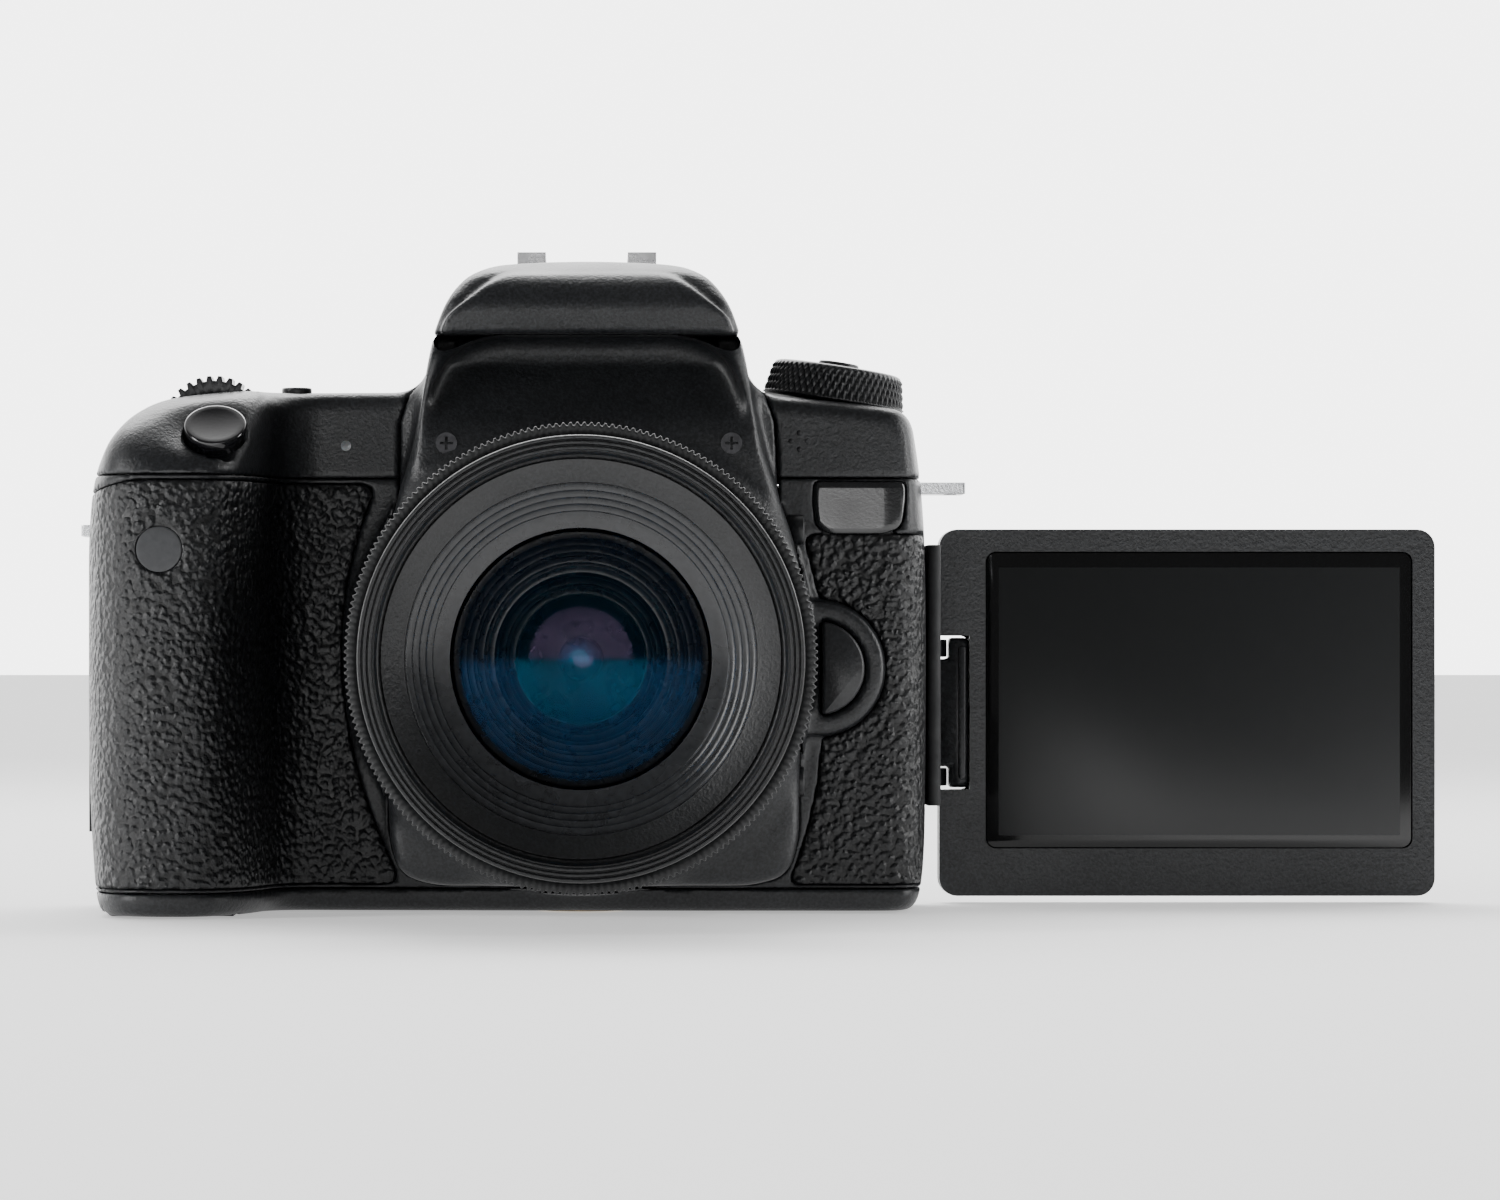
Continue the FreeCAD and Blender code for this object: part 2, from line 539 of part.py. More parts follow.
# ---- lens ----------------------------------------------------------------------------------
def make_lens():
    """Barrel with bayonet, zoom ring, focus ring, front group, glass and two slide switches."""
    zoom_from = REAR_BARREL_LENGTH + 0.4
    band_from = zoom_from + ZOOM_RING_LENGTH + 0.4
    focus_from = LENS_LENGTH - FRONT_RING_LENGTH - FOCUS_RING_LENGTH - 0.6
    barrel_end = LENS_LENGTH - FRONT_RING_LENGTH - 0.4
    barrel = turned([
        (BARREL_BORE_R, 2.0),
        (TAB_R - 4.0, 2.0),
        (TAB_R - 4.0, 0.0),
        (REAR_BARREL_R, 0.0),
        (REAR_BARREL_R, REAR_BARREL_LENGTH),
        (BARREL_R, REAR_BARREL_LENGTH),
        (BARREL_R, band_from),
        (MID_BAND_R, band_from),
        (MID_BAND_R, focus_from - 0.4),
        (BARREL_R, focus_from - 0.4),
        (BARREL_R, barrel_end),
        (BARREL_BORE_R, barrel_end),
    ], FLANGE_Y)
    spigot_end = FLANGE_Y + 2.9
    spigot = tube((0, FLANGE_Y, AXIS_Z), (0, 1, 0), TAB_R - FIT - 0.2, TAB_R - 4.0, spigot_end - FLANGE_Y)
    barrel = barrel.fuse(spigot)
    for k in range(3):
        lug_y = FLANGE_Y + TAB_THICK + 0.4
        lug = sector(TAB_R - 3.0, THROAT_R - GAP, 120 * k, TAB_ANGLE - 4.0, lug_y, spigot_end - lug_y)
        barrel = barrel.fuse(lug)
    SHAPES["lens_barrel"] = barrel
    at = (0, FLANGE_Y - zoom_from, AXIS_Z)
    SHAPES["zoom_ring"] = tube(at, (0, -1, 0), ZOOM_RING_R, BARREL_R + FIT, ZOOM_RING_LENGTH)
    at = (0, FLANGE_Y - focus_from, AXIS_Z)
    SHAPES["focus_ring"] = tube(at, (0, -1, 0), FOCUS_RING_R, BARREL_R + FIT, FOCUS_RING_LENGTH)
    front = LENS_LENGTH
    flange = front - FRONT_RING_LENGTH
    slide_r = BARREL_BORE_R - FIT
    SHAPES["front_group"] = turned([
        (slide_r, front - 40.0),
        (slide_r, flange),
        (FRONT_RING_R, flange),
        (FRONT_RING_R, front),
        (FILTER_R, front),
        (FILTER_R, front - FILTER_DEPTH),
        (FILTER_R - 1.2, front - FILTER_DEPTH),
        (BEZEL_R, front - 8.6),
        (FRONT_GLASS_R, front - 8.6),
        (FRONT_GLASS_R, front - 16.0),
        (slide_r - 2.4, front - 16.0),
        (slide_r - 2.4, front - 40.0),
    ], FLANGE_Y)
    dome_r = 42.0
    sag = dome_r - math.sqrt(dome_r ** 2 - FRONT_GLASS_R ** 2)
    face_y = FLANGE_Y - (front - 11.0)
    dome = Part.makeSphere(dome_r, Vector(0, face_y + dome_r - sag, AXIS_Z))
    blank = rod((0, face_y + 4.0, AXIS_Z), (0, -1, 0), FRONT_GLASS_R, 4.0 + sag + 1.0)
    SHAPES["front_glass"] = blank.common(dome)
    for name, angle in (("focus_switch", 14.0), ("stabilizer_switch", -14.0)):
        pocket = box(REAR_BARREL_R - 1.4, REAR_BARREL_R + 5.0, -4.2, 4.2, -1.6, 1.6)
        slider = box(REAR_BARREL_R - 1.1, REAR_BARREL_R + 0.7, -4.0, -0.8, -1.35, 1.35)
        for shape in (pocket, slider):
            shape.translate(Vector(0, FLANGE_Y - REAR_BARREL_LENGTH / 2 + 0.6, 0))
            shape.rotate(Vector(0, 0, 0), Vector(0, 1, 0), -angle)
            shape.translate(Vector(0, 0, AXIS_Z))
        SHAPES["lens_barrel"] = SHAPES["lens_barrel"].cut(pocket)
        SHAPES[name] = slider


# ---- inside --------------------------------------------------------------------------------
def make_inside():
    """Mirror box, shutter, sensor, boards, frame, mirror house, battery and card."""
    half_w = MIRROR_BOX[0] / 2
    low = AXIS_Z - MIRROR_BOX[1] / 2
    high = AXIS_Z + MIRROR_BOX[1] / 2
    front = FLANGE_Y + 5.0
    w = MIRROR_BOX_WALL
    shell = box(-half_w, half_w, front, MIRROR_BOX_BACK, low, high)
    room = box(-half_w + w, half_w - w, front - 1.0, MIRROR_BOX_BACK - w, low + w, high - w)
    gate_w, gate_h = IMAGE_GATE
    gate = box(-gate_w / 2, gate_w / 2, MIRROR_BOX_BACK - 3.0, MIRROR_BOX_BACK + 1.0,
               AXIS_Z - gate_h / 2, AXIS_Z + gate_h / 2)
    window_w, window_front, window_back = SCREEN_WINDOW
    window = box(-window_w / 2, window_w / 2, window_front, window_back, high - 3.0, high + 1.0)
    SHAPES["mirror_box"] = shell.cut(room).cut(gate).cut(window)
    screen_w, screen_y0, screen_y1, screen_t = FOCUSING_SCREEN
    focusing_screen = box(-screen_w / 2, screen_w / 2, screen_y0, screen_y1, high, high + screen_t)
    pentamirror = swept([
        (-13.0, high + 1.4, 0.0),
        (9.0, high + 1.4, 0.0),
        (24.0, EYEPIECE_Z - 7.0, 0.0),
        (24.0, EYEPIECE_Z + 7.0, 0.0),
        (8.0, HUMP_TOP_Z - 5.4, 2.0),
        (-4.0, BROW_Z - 4.6, 2.0),
        (-13.0, high + 13.0, 2.0),
    ], in_side_view, HUMP_X - PENTAMIRROR_WIDTH / 2, HUMP_X + PENTAMIRROR_WIDTH / 2)
    eye_w, eye_h = EYEPIECE
    eyepiece = box(HUMP_X - eye_w / 2, HUMP_X + eye_w / 2, HUMP_BACK - WALL - 1.0, HUMP_BACK - 1.0,
                   EYEPIECE_Z - eye_h / 2, EYEPIECE_Z + eye_h / 2)
    SHAPES["viewfinder_optics"] = Part.makeCompound([focusing_screen, pentamirror, eyepiece])

    shutter_y = MIRROR_BOX_BACK
    plate = box(-26.0, 26.0, shutter_y, shutter_y + SHUTTER_THICK, AXIS_Z - 19.0, AXIS_Z + 19.0)
    gate_w, gate_h = SHUTTER_GATE
    gate = box(-gate_w / 2, gate_w / 2, shutter_y - 1.0, shutter_y + SHUTTER_THICK + 1.0,
               AXIS_Z - gate_h / 2, AXIS_Z + gate_h / 2)
    track = box(-20.0, 20.0, shutter_y + 1.0, shutter_y + 2.2, AXIS_Z - 17.6, AXIS_Z + 12.8)
    SHAPES["shutter_frame"] = plate.cut(gate).cut(track)
    blade = box(-19.6, 19.6, shutter_y + 1.3, shutter_y + 1.9, AXIS_Z + 8.2, AXIS_Z + 12.5)
    SHAPES["shutter_curtain"] = blade

    w, h, t = SENSOR
    sensor = box(-w / 2, w / 2, IMAGE_PLANE_Y, IMAGE_PLANE_Y + t, AXIS_Z - h / 2, AXIS_Z + h / 2)
    w, h, t = BOARD
    board_y = IMAGE_PLANE_Y + SENSOR[2]
    board = box(-w / 2 + 2.0, w / 2 + 2.0, board_y, board_y + t, 8.0, 8.0 + h)
    SHAPES["sensor_board"] = Part.makeCompound([sensor, board])
    frame = box(-27.0, 27.0, -5.0, 9.0, 8.2, high + 0.4 + 0.8)
    frame = frame.cut(box(-half_w, half_w, -6.0, 10.0, low, high + 3.0))
    SHAPES["chassis_frame"] = frame.cut(box(-17.0, 17.0, -6.0, 10.0, high - 3.0, high + 9.0))

    hinge_y = MIRROR_BOX_BACK - 4.2
    hinge_z = high - 4.6
    w, length, t = MIRROR_SIZE
    plate = box(-w / 2, w / 2, hinge_y - length, hinge_y, hinge_z - t, hinge_z)
    plate.rotate(Vector(0, hinge_y, hinge_z), Vector(1, 0, 0), 45)
    pivot = rod((-w / 2, hinge_y, hinge_z), (1, 0, 0), MIRROR_PIVOT_R, w)
    SHAPES["reflex_mirror"] = plate.fuse(pivot)

    x, y = BATTERY_AT
    w, d, h = BATTERY
    z = WALL + 1.6
    SHAPES["battery"] = box(x, x + w, y, y + d, z, z + h)


# ---- covers --------------------------------------------------------------------------------
def side_door(y_hinge, toward, z0, z1, width, x_face, side):
    """Plate flush in a side wall with a round hinge edge; returns (door, pocket)."""
    half = DOOR_THICK / 2
    x_mid = x_face - side * half
    y_axis = y_hinge + toward * half
    y_end = y_hinge + toward * width
    y_low, y_high = sorted((y_axis, y_end))
    edge = rod((x_mid, y_axis, z0), (0, 0, 1), half, z1 - z0)
    door = edge.fuse(box(x_mid - half, x_mid + half, y_low, y_high, z0, z1))
    y_low, y_high = sorted((y_hinge - toward * GAP, y_end + toward * GAP))
    x_low, x_high = sorted((x_face - side * (DOOR_THICK + GAP), x_face + side * 8.0))
    pocket = box(x_low, x_high, y_low, y_high, z0 - GAP, z1 + GAP)
    edge = GAP + DOOR_BACKING
    deep = DOOR_THICK + edge
    x_low, x_high = sorted((x_face - side * deep, x_face - side * 0.1))
    backing = box(x_low, x_high, y_low - DOOR_BACKING, y_high + DOOR_BACKING, z0 - edge, z1 + edge)
    return door, pocket, backing


def make_covers():
    """Outer shells, rubber skins, panel, doors and what is set into them."""
    flash_room = flash_zone(GAP)
    body = body_solid()
    hump = hump_solid()
    panel = panel_solid()
    outer = body.fuse(hump).fuse(panel)
    hollow = body_solid(WALL).fuse(hump_solid(WALL)).fuse(panel_solid(WALL, behind=4.0))
    hollow = hollow.cut(flash_zone(GAP + WALL))

    low, high = make_screen()
    recess_y = SCREEN_FRONT - DISPLAY_RECESS
    closed_x = 2 * HINGE_X - SCREEN_RIGHT - 0.8
    recess_floor = box(closed_x - WALL, FAR, recess_y - WALL, FAR, -FAR, SCREEN_TOP_Z + GAP + WALL)
    hollow = hollow.cut(recess_floor)
    recess = box(closed_x, FAR, recess_y, FAR, -FAR, SCREEN_TOP_Z + 0.6)

    cuts = [flash_room, recess]
    additions = []
    seats = []

    # shutter button on the sloping front of the grip
    slope = math.radians(GRIP_SLOPE_DEG)
    slope_dir = (0.0, -math.sin(slope), math.cos(slope))
    rise = (SHUTTER_AT[1] - GRIP_FRONT) * math.tan(slope)
    at = (SHUTTER_AT[0], SHUTTER_AT[1], SEAM_TOP_Z + rise)
    SHAPES["shutter_button"] = facing(push_button(SHUTTER_R, 1.0, 4.0), at, slope_dir)
    seats.append(facing(Part.makeCylinder(SHUTTER_R + 2.0, 6.4, Vector(0, 0, -6.4)), at, slope_dir))
    cuts.append(facing(button_bore(SHUTTER_R, SHUTTER_TRAVEL, 4.0), at, slope_dir))

    # main dial, a wheel standing in a slot
    top_z = SHOULDER_Z + MAIN_DIAL_PROUD
    centre = (MAIN_DIAL_X, MAIN_DIAL_Y - MAIN_DIAL_WIDTH / 2, top_z - MAIN_DIAL_R)
    SHAPES["main_dial"] = rod(centre, (0, 1, 0), MAIN_DIAL_R, MAIN_DIAL_WIDTH)
    slot_half = MAIN_DIAL_WIDTH / 2 + GAP
    cuts.append(box(
        MAIN_DIAL_X - MAIN_DIAL_R - GAP, MAIN_DIAL_X + MAIN_DIAL_R + GAP,
        MAIN_DIAL_Y - slot_half, MAIN_DIAL_Y + slot_half, top_z - 2 * MAIN_DIAL_R - GAP, FAR))

    # top display button
    at = (TOP_BUTTON_AT[0], TOP_BUTTON_AT[1], SHOULDER_Z)
    SHAPES["display_light_button"] = facing(push_button(TOP_BUTTON_R, TOP_BUTTON_PROUD), at, (0, 0, 1))
    cuts.append(facing(button_bore(TOP_BUTTON_R), at, (0, 0, 1)))

    # mode dial, its lock and the power switch on the sloping shoulder
    cone = Part.makeCone(MODE_DIAL_R, MODE_DIAL_TOP_R, MODE_DIAL_HEIGHT, Vector(0, 0, GAP))
    shaft = Part.makeCylinder(SHAFT_R, 6.0 + GAP, Vector(0, 0, -6.0))
    lock_bore = Part.makeCylinder(MODE_LOCK_R + BUTTON_CLEARANCE, 3.0, Vector(0, 0, MODE_DIAL_HEIGHT - 2.4))
    lock = Part.makeCylinder(MODE_LOCK_R, MODE_LOCK_PROUD + 1.6, Vector(0, 0, MODE_DIAL_HEIGHT + GAP - 1.6))
    SHAPES["mode_dial"] = shoulder_frame(cone.fuse(shaft).cut(lock_bore), MODE_DIAL_Y)
    SHAPES["mode_lock_button"] = shoulder_frame(lock, MODE_DIAL_Y)
    cuts.append(shoulder_frame(Part.makeCylinder(SHAFT_R + FIT, 30.0, Vector(0, 0, -15.0)), MODE_DIAL_Y))
    cuts.append(shoulder_frame(Part.makeCylinder(MODE_DIAL_R + GAP, 20.0), MODE_DIAL_Y))
    lever = Part.makeCylinder(SWITCH_R, SWITCH_HEIGHT, Vector(0, 0, GAP))
    lever = lever.fuse(box(-1.4, 1.4, 0.0, SWITCH_R + 2.0, GAP + 0.6, SWITCH_HEIGHT + GAP))
    lever = lever.fuse(Part.makeCylinder(2.0, 6.0, Vector(0, 0, -5.0)))
    SHAPES["power_switch"] = shoulder_frame(lever, SWITCH_Y)
    cuts.append(shoulder_frame(Part.makeCylinder(2.0 + FIT, 12.0, Vector(0, 0, -6.0)), SWITCH_Y))

    # round buttons on the back
    for name, (x, z, radius, proud) in REAR_BUTTONS.items():
        SHAPES[name] = facing(push_button(radius, proud), (x, BODY_BACK, z), (0, 1, 0))
        cuts.append(facing(button_bore(radius), (x, BODY_BACK, z), (0, 1, 0)))

    # quick control dial, direction pad and centre button
    x, z = CONTROL_AT
    floor_y = BODY_BACK - CONTROL_RECESS
    stem_r = SET_BUTTON_R + BUTTON_CLEARANCE + 1.5
    set_bore_r = SET_BUTTON_R + BUTTON_CLEARANCE
    pad = tube((x, floor_y + 0.6, z), (0, 1, 0), CONTROL_PAD_R, set_bore_r, CONTROL_RECESS)
    pad = pad.fuse(tube((x, floor_y - 3.0, z), (0, 1, 0), stem_r, set_bore_r, 3.8))
    ring_in = CONTROL_PAD_R + BUTTON_CLEARANCE
    ring_long = CONTROL_RECESS + CONTROL_PROUD - GAP
    SHAPES["control_dial"] = tube((x, floor_y + GAP, z), (0, 1, 0), CONTROL_DIAL_R, ring_in, ring_long)
    SHAPES["control_pad"] = pad
    SHAPES["set_button"] = rod((x, floor_y - 3.0, z), (0, 1, 0), SET_BUTTON_R, CONTROL_RECESS + 4.0)
    cuts.append(rod((x, floor_y, z), (0, 1, 0), CONTROL_DIAL_R + GAP, 20.0))
    cuts.append(rod((x, floor_y - 8.0, z), (0, 1, 0), stem_r + BUTTON_CLEARANCE, 20.0))

    # lens release button with its raised collar
    def half_moon(radius, grow, y0, y1):
        disc = rod((RELEASE_X, y0, RELEASE_Z), (0, 1, 0), radius, y1 - y0)
        return disc.cut(box(-FAR, RELEASE_FLAT_X - grow, -FAR, FAR, -FAR, FAR))

    tip_y = FRONT_FACE_Y - RELEASE_PROUD
    SHAPES["lens_release_button"] = half_moon(RELEASE_R, 0.0, tip_y, FRONT_FACE_Y + 4.0)
    cuts.append(half_moon(RELEASE_R + GAP, GAP, tip_y - 10.0, FRONT_FACE_Y + 10.0))
    collar_r = RELEASE_R + RELEASE_COLLAR
    collar_y = FRONT_FACE_Y - RELEASE_COLLAR_HEIGHT
    additions.append(half_moon(collar_r, RELEASE_FLAT_X - PANEL_RIGHT, collar_y, FRONT_FACE_Y + WALL))

    # flash and preview buttons on the side of the raised front
    for name, z in (("flash_button", FLASH_BUTTON_Z), ("preview_button", PREVIEW_BUTTON_Z)):
        at = (PANEL_RIGHT, SIDE_BUTTON_Y, z)
        SHAPES[name] = facing(push_button(SIDE_BUTTON_R, 0.7, 2.4), at, (1, 0, 0))
        cuts.append(facing(button_bore(SIDE_BUTTON_R, BUTTON_TRAVEL, 2.4), at, (1, 0, 0)))

    # doors in the sides
    doors = {}
    for i, name in enumerate(("terminal_cover_front", "terminal_cover_rear")):
        y = TERMINAL_FRONT_Y + i * TERMINAL_PITCH
        z0 = TERMINAL_BOTTOM_Z
        doors[name] = side_door(y, 1, z0, z0 + TERMINAL_HEIGHT, TERMINAL_WIDTH, BODY_RIGHT, 1)
    z0 = CARD_DOOR_BOTTOM_Z
    doors["card_door"] = side_door(CARD_DOOR_REAR_Y, -1, z0, z0 + CARD_DOOR[1], CARD_DOOR[0], GRIP_SIDE_X, -1)
    for name, (door, pocket, backing) in doors.items():
        SHAPES[name] = door
        cuts.append(pocket)
        seats.append(backing)

    # battery door and latch in the base
    x, y = BATTERY_AT
    w, d, h = BATTERY
    x0 = x - 1.0
    x1 = x + w + DOOR_MARGIN + 1.0
    y0 = y - DOOR_MARGIN + 1.0
    y1 = y + d + DOOR_MARGIN
    half = DOOR_THICK / 2
    door = rod((x0 + half, y0, half), (0, 1, 0), half, y1 - y0)
    door = door.fuse(box(x0 + half, x1, y0, y1, 0.0, DOOR_THICK))
    latch_w, latch_d, latch_t = LATCH
    latch_x = x1 - 1.2 - latch_w
    latch_y = (y0 + y1) / 2
    slot = box(latch_x - LATCH_TRAVEL - GAP, latch_x + latch_w + GAP, latch_y - latch_d / 2 - GAP,
               latch_y + latch_d / 2 + GAP, -1.0, latch_t + 0.2)
    SHAPES["battery_door"] = door.cut(slot)
    SHAPES["battery_latch"] = box(latch_x, latch_x + latch_w, latch_y - latch_d / 2,
                                  latch_y + latch_d / 2, 0.05, latch_t)
    cuts.append(box(x0 - GAP, x1 + GAP, y0 - GAP, y1 + GAP, -5.0, DOOR_THICK + 5.0))

    # flash lamp holes, windows, screws, hot shoe, displays
    shoe = make_shoe()
    shoe_half = SHOE_WIDTH / 2
    cuts.append(box(HUMP_X - shoe_half, HUMP_X + shoe_half, SHOE_FRONT_Y, SHOE_FRONT_Y + SHOE_LENGTH,
                    HUMP_TOP_Z - SHOE_SINK - SHOE_BASE, FAR))
    SHAPES["hot_shoe"] = shoe
    w, d, t = STATUS_DISPLAY
    x, y = STATUS_DISPLAY_AT
    SHAPES["status_display"] = box(x - w / 2, x + w / 2, y - d / 2, y + d / 2, SHOULDER_Z - t, SHOULDER_Z)
    eye_w, eye_h = EYEPIECE
    cuts.append(box(HUMP_X - eye_w / 2, HUMP_X + eye_w / 2, HUMP_BACK - WALL - 2.0, FAR,
                    EYEPIECE_Z - eye_h / 2, EYEPIECE_Z + eye_h / 2))
    cup_w, cup_h = EYECUP
    corners = ((-1, -1), (1, -1), (1, 1), (-1, 1))
    cup = [(HUMP_X + sx * cup_w / 2, EYEPIECE_Z + sz * cup_h / 2, 8.0) for sx, sz in corners]
    hole_w = eye_w / 2 + 1.0
    hole_h = eye_h / 2 + 1.0
    hole = [(HUMP_X + sx * hole_w, EYEPIECE_Z + sz * hole_h, 3.0) for sx, sz in corners]
    eyecup = swept(cup, in_front_view, HUMP_BACK, HUMP_BACK + EYECUP_DEPTH)
    SHAPES["eyecup"] = eyecup.cut(swept(hole, in_front_view, HUMP_BACK - 1.0, HUMP_BACK + EYECUP_DEPTH + 1.0))
    knob_at = (HUMP_X - cup_w / 2 - KNOB_R - 0.8, HUMP_BACK, EYEPIECE_Z - 2.0)
    knob = Part.makeCylinder(KNOB_R, KNOB_PROUD, Vector(0, 0, GAP))
    knob = knob.fuse(Part.makeCylinder(1.4, 4.0, Vector(0, 0, -3.6)))
    SHAPES["dioptre_knob"] = facing(knob, knob_at, (0, 1, 0))
    cuts.append(facing(Part.makeCylinder(1.4 + FIT, 12.0, Vector(0, 0, -8.0)), knob_at, (0, 1, 0)))

    lamp_at = (LAMP_AT[0], FRONT_FACE_Y - 2.0, LAMP_AT[1])
    lamp = rod(lamp_at, (0, 1, 0), LAMP_R, LAMP_DEPTH)
    bush = rod((0, 0, 0), (0, 0, 1), SOCKET_R, SOCKET_HEIGHT)
    SHAPES["tripod_socket"] = bush.cut(rod((0, 0, 0), (0, 0, 1), THREAD_R, THREAD_DEPTH))
    SHAPES["chassis_frame"] = SHAPES["chassis_frame"].cut(bush)

    # mount ring seated in the raised front
    ring = tube((0, FLANGE_Y, AXIS_Z), (0, 1, 0), MOUNT_R, THROAT_R, PANEL_FRONT + 2.4 - FLANGE_Y)
    for k in range(3):
        tab = sector(TAB_R, THROAT_R + 0.5, 120 * k, TAB_ANGLE, FLANGE_Y + 0.1, TAB_THICK)
        ring = ring.fuse(tab)
    SHAPES["lens_mount_ring"] = ring
    mount_seat = rod((0, -FAR, AXIS_Z), (0, 1, 0), MOUNT_R, FAR + PANEL_FRONT + 2.4)
    throat = rod((0, -FAR, AXIS_Z), (0, 1, 0), THROAT_R, FAR + FRONT_FACE_Y + 8.0)

    # strap lugs
    lugs = []
    long, wide, thick = LUG
    slot_long, slot_wide = LUG_SLOT
    for x_face, side, y_mid, z_top in (RIGHT_LUG, LEFT_LUG):
        y0 = y_mid - wide / 2
        lug_z = z_top - thick
        x0, x1 = sorted((x_face - side * LUG_ROOT, x_face + side * long))
        lug = box(x0, x1, y0, y0 + wide, lug_z, z_top)
        s0, s1 = sorted((x_face + side * (long - 1.1), x_face + side * (long - 1.1 - slot_long)))
        lug = lug.cut(box(s0, s1, y_mid - slot_wide / 2, y_mid + slot_wide / 2, lug_z - 1, z_top + 1))
        lugs.append(lug)
    SHAPES["strap_lugs"] = Part.makeCompound(lugs)
    deep, beside, above = LUG_RECESS
    left_y = LEFT_LUG[2]
    left_z = LEFT_LUG[3] - thick / 2
    half_y = wide / 2 + beside
    half_z = thick / 2 + above
    floor_x = GRIP_SIDE_X + deep
    cuts.append(box(-FAR, floor_x, left_y - half_y, left_y + half_y, left_z - half_z, left_z + half_z))
    edge = DOOR_BACKING + 1.0
    half_y = half_y + edge
    half_z = half_z + edge
    seats.append(box(GRIP_SIDE_X + 0.1, floor_x + edge, left_y - half_y, left_y + half_y,
                     left_z - half_z, left_z + half_z))

    shell = outer.cut(hollow)
    for seat in seats:
        shell = shell.fuse(seat.common(outer))
    for extra in additions:
        shell = shell.fuse(extra)
    for cut in cuts + lugs + [lamp, SHAPES["status_display"]]:
        shell = shell.cut(cut)

    # flash head and its window, which faces forwards when the head is up
    head = hump_solid().common(flash_zone(0.0))
    lens_w, lens_d, lens_t = FLASH_LENS
    lens_y = HUMP_FRONT + 4.0
    lens = box(HUMP_X - lens_w / 2, HUMP_X + lens_w / 2, lens_y, lens_y + lens_d, BROW_Z, BROW_Z + lens_t)
    lens = lens.common(head)
    pocket = box(HUMP_X - lens_w / 2 + 1, HUMP_X + lens_w / 2 - 1, lens_y + 1, lens_y + lens_d - 1,
                 BROW_Z + lens_t, BROW_Z + lens_t + 3.0)
    pins = []
    for side in (-1, 1):
        inner = HUMP_X + side * (FLASH_ARM_X - 1.9)
        outer_x = HUMP_X + side * (FLASH_ARM_X + 1.0)
        x0, x1 = sorted((inner, outer_x))
        pins.append(rod((x0, FLASH_PIVOT_Y, FLASH_PIVOT_Z), (1, 0, 0), FLASH_PIN_R, x1 - x0))
        bore_at = (x0 - GAP, FLASH_PIVOT_Y, FLASH_PIVOT_Z)
        shell = shell.cut(rod(bore_at, (1, 0, 0), FLASH_PIN_R + FIT, x1 - x0 + 2 * GAP))
    SHAPES["flash_head"] = head.cut(lens).cut(pocket).fuse(pins)
    SHAPES["flash_lens"] = lens

    # lens panel
    panel_zone = swept(panel_front_view(), in_front_view, -FAR, FRONT_FACE_Y)
    lens_panel = shell.common(panel_zone).cut(mount_seat).cut(throat)
    shell = shell.cut(swept(panel_front_view(), in_front_view, -FAR, FRONT_FACE_Y + WALL))
    bulkhead = box(PANEL_LEFT, PANEL_RIGHT, FRONT_FACE_Y, FRONT_FACE_Y + WALL, SEAM_BOTTOM_Z, SEAM_TOP_Z)
    box_w, box_h = MIRROR_BOX
    bulkhead = bulkhead.cut(box(-box_w / 2 - GAP, box_w / 2 + GAP, -FAR, FAR, AXIS_Z - box_h / 2 - GAP,
                                AXIS_Z + box_h / 2 + GAP))
    bulkhead = bulkhead.cut(box(-17.0 - GAP, 17.0 + GAP, -FAR, FAR, AXIS_Z, FAR))
    shell = shell.fuse(bulkhead)

    # screws in the panel and the base
    screws = []
    blank = screw_blank()
    pocket = rod((0, 0, -1.0), (0, 0, 1), SCREW_R, SCREW_HEIGHT + 1.0)
    for x, z in PANEL_SCREWS:
        at = (x, PANEL_FRONT, z)
        screws.append(facing(blank, at, (0, 1, 0)))
        lens_panel = lens_panel.cut(facing(pocket, at, (0, 1, 0)))
    for x, y in BASE_SCREWS:
        at = (x, y, SCREW_SINK)
        screws.append(facing(blank, at, (0, 0, 1)))
        shell = shell.cut(facing(pocket, at, (0, 0, 1)))
    SHAPES["cover_screws"] = Part.makeCompound(screws)

    # rubber skins lie in the outer layer of the walls
    skin = body.cut(body_solid(RUBBER))
    for extra in (flash_room, recess, lamp):
        skin = skin.cut(extra)
    grip_zone = box(-FAR, PANEL_LEFT - 4.0, -FAR, SPLIT_Y - 3.0, SEAM_BOTTOM_Z + 0.5, SEAM_TOP_Z - 0.5)
    side_back = TERMINAL_FRONT_Y - 1.2
    side_zone = box(PANEL_RIGHT + 1.0, FAR, -FAR, side_back, SEAM_BOTTOM_Z + 0.5, SEAM_TOP_Z - 9.0)
    thumb_low = CONTROL_AT[1] + CONTROL_DIAL_R + 4.0
    thumb_zone = box(-FAR, closed_x - 3.0, SPLIT_Y + 2.0, FAR, thumb_low, SEAM_TOP_Z - 0.5)
    side_keep = half_moon(collar_r + 0.6, 4.0, -FAR, FRONT_FACE_Y + 8.0)
    rubbers = {
        "grip_rubber": skin.common(grip_zone),
        "rubber_pads": Part.makeCompound([skin.common(side_zone).cut(side_keep), skin.common(thumb_zone)]),
    }
    window_at = (WINDOW_AT[0], GRIP_FRONT - 1.0, WINDOW_AT[1])
    window = rod(window_at, (0, 1, 0), WINDOW_R, 1.0 + RUBBER).common(body)
    rubbers["grip_rubber"] = rubbers["grip_rubber"].cut(rod(window_at, (0, 1, 0), WINDOW_R, 6.0))
    SHAPES["front_windows"] = Part.makeCompound([window, lamp.common(body)])
    for name, rubber in rubbers.items():
        for cut in cuts + lugs:
            rubber = rubber.cut(cut)
        SHAPES[name] = rubber
        shell = shell.cut(rubber)
    shell = shell.cut(window)

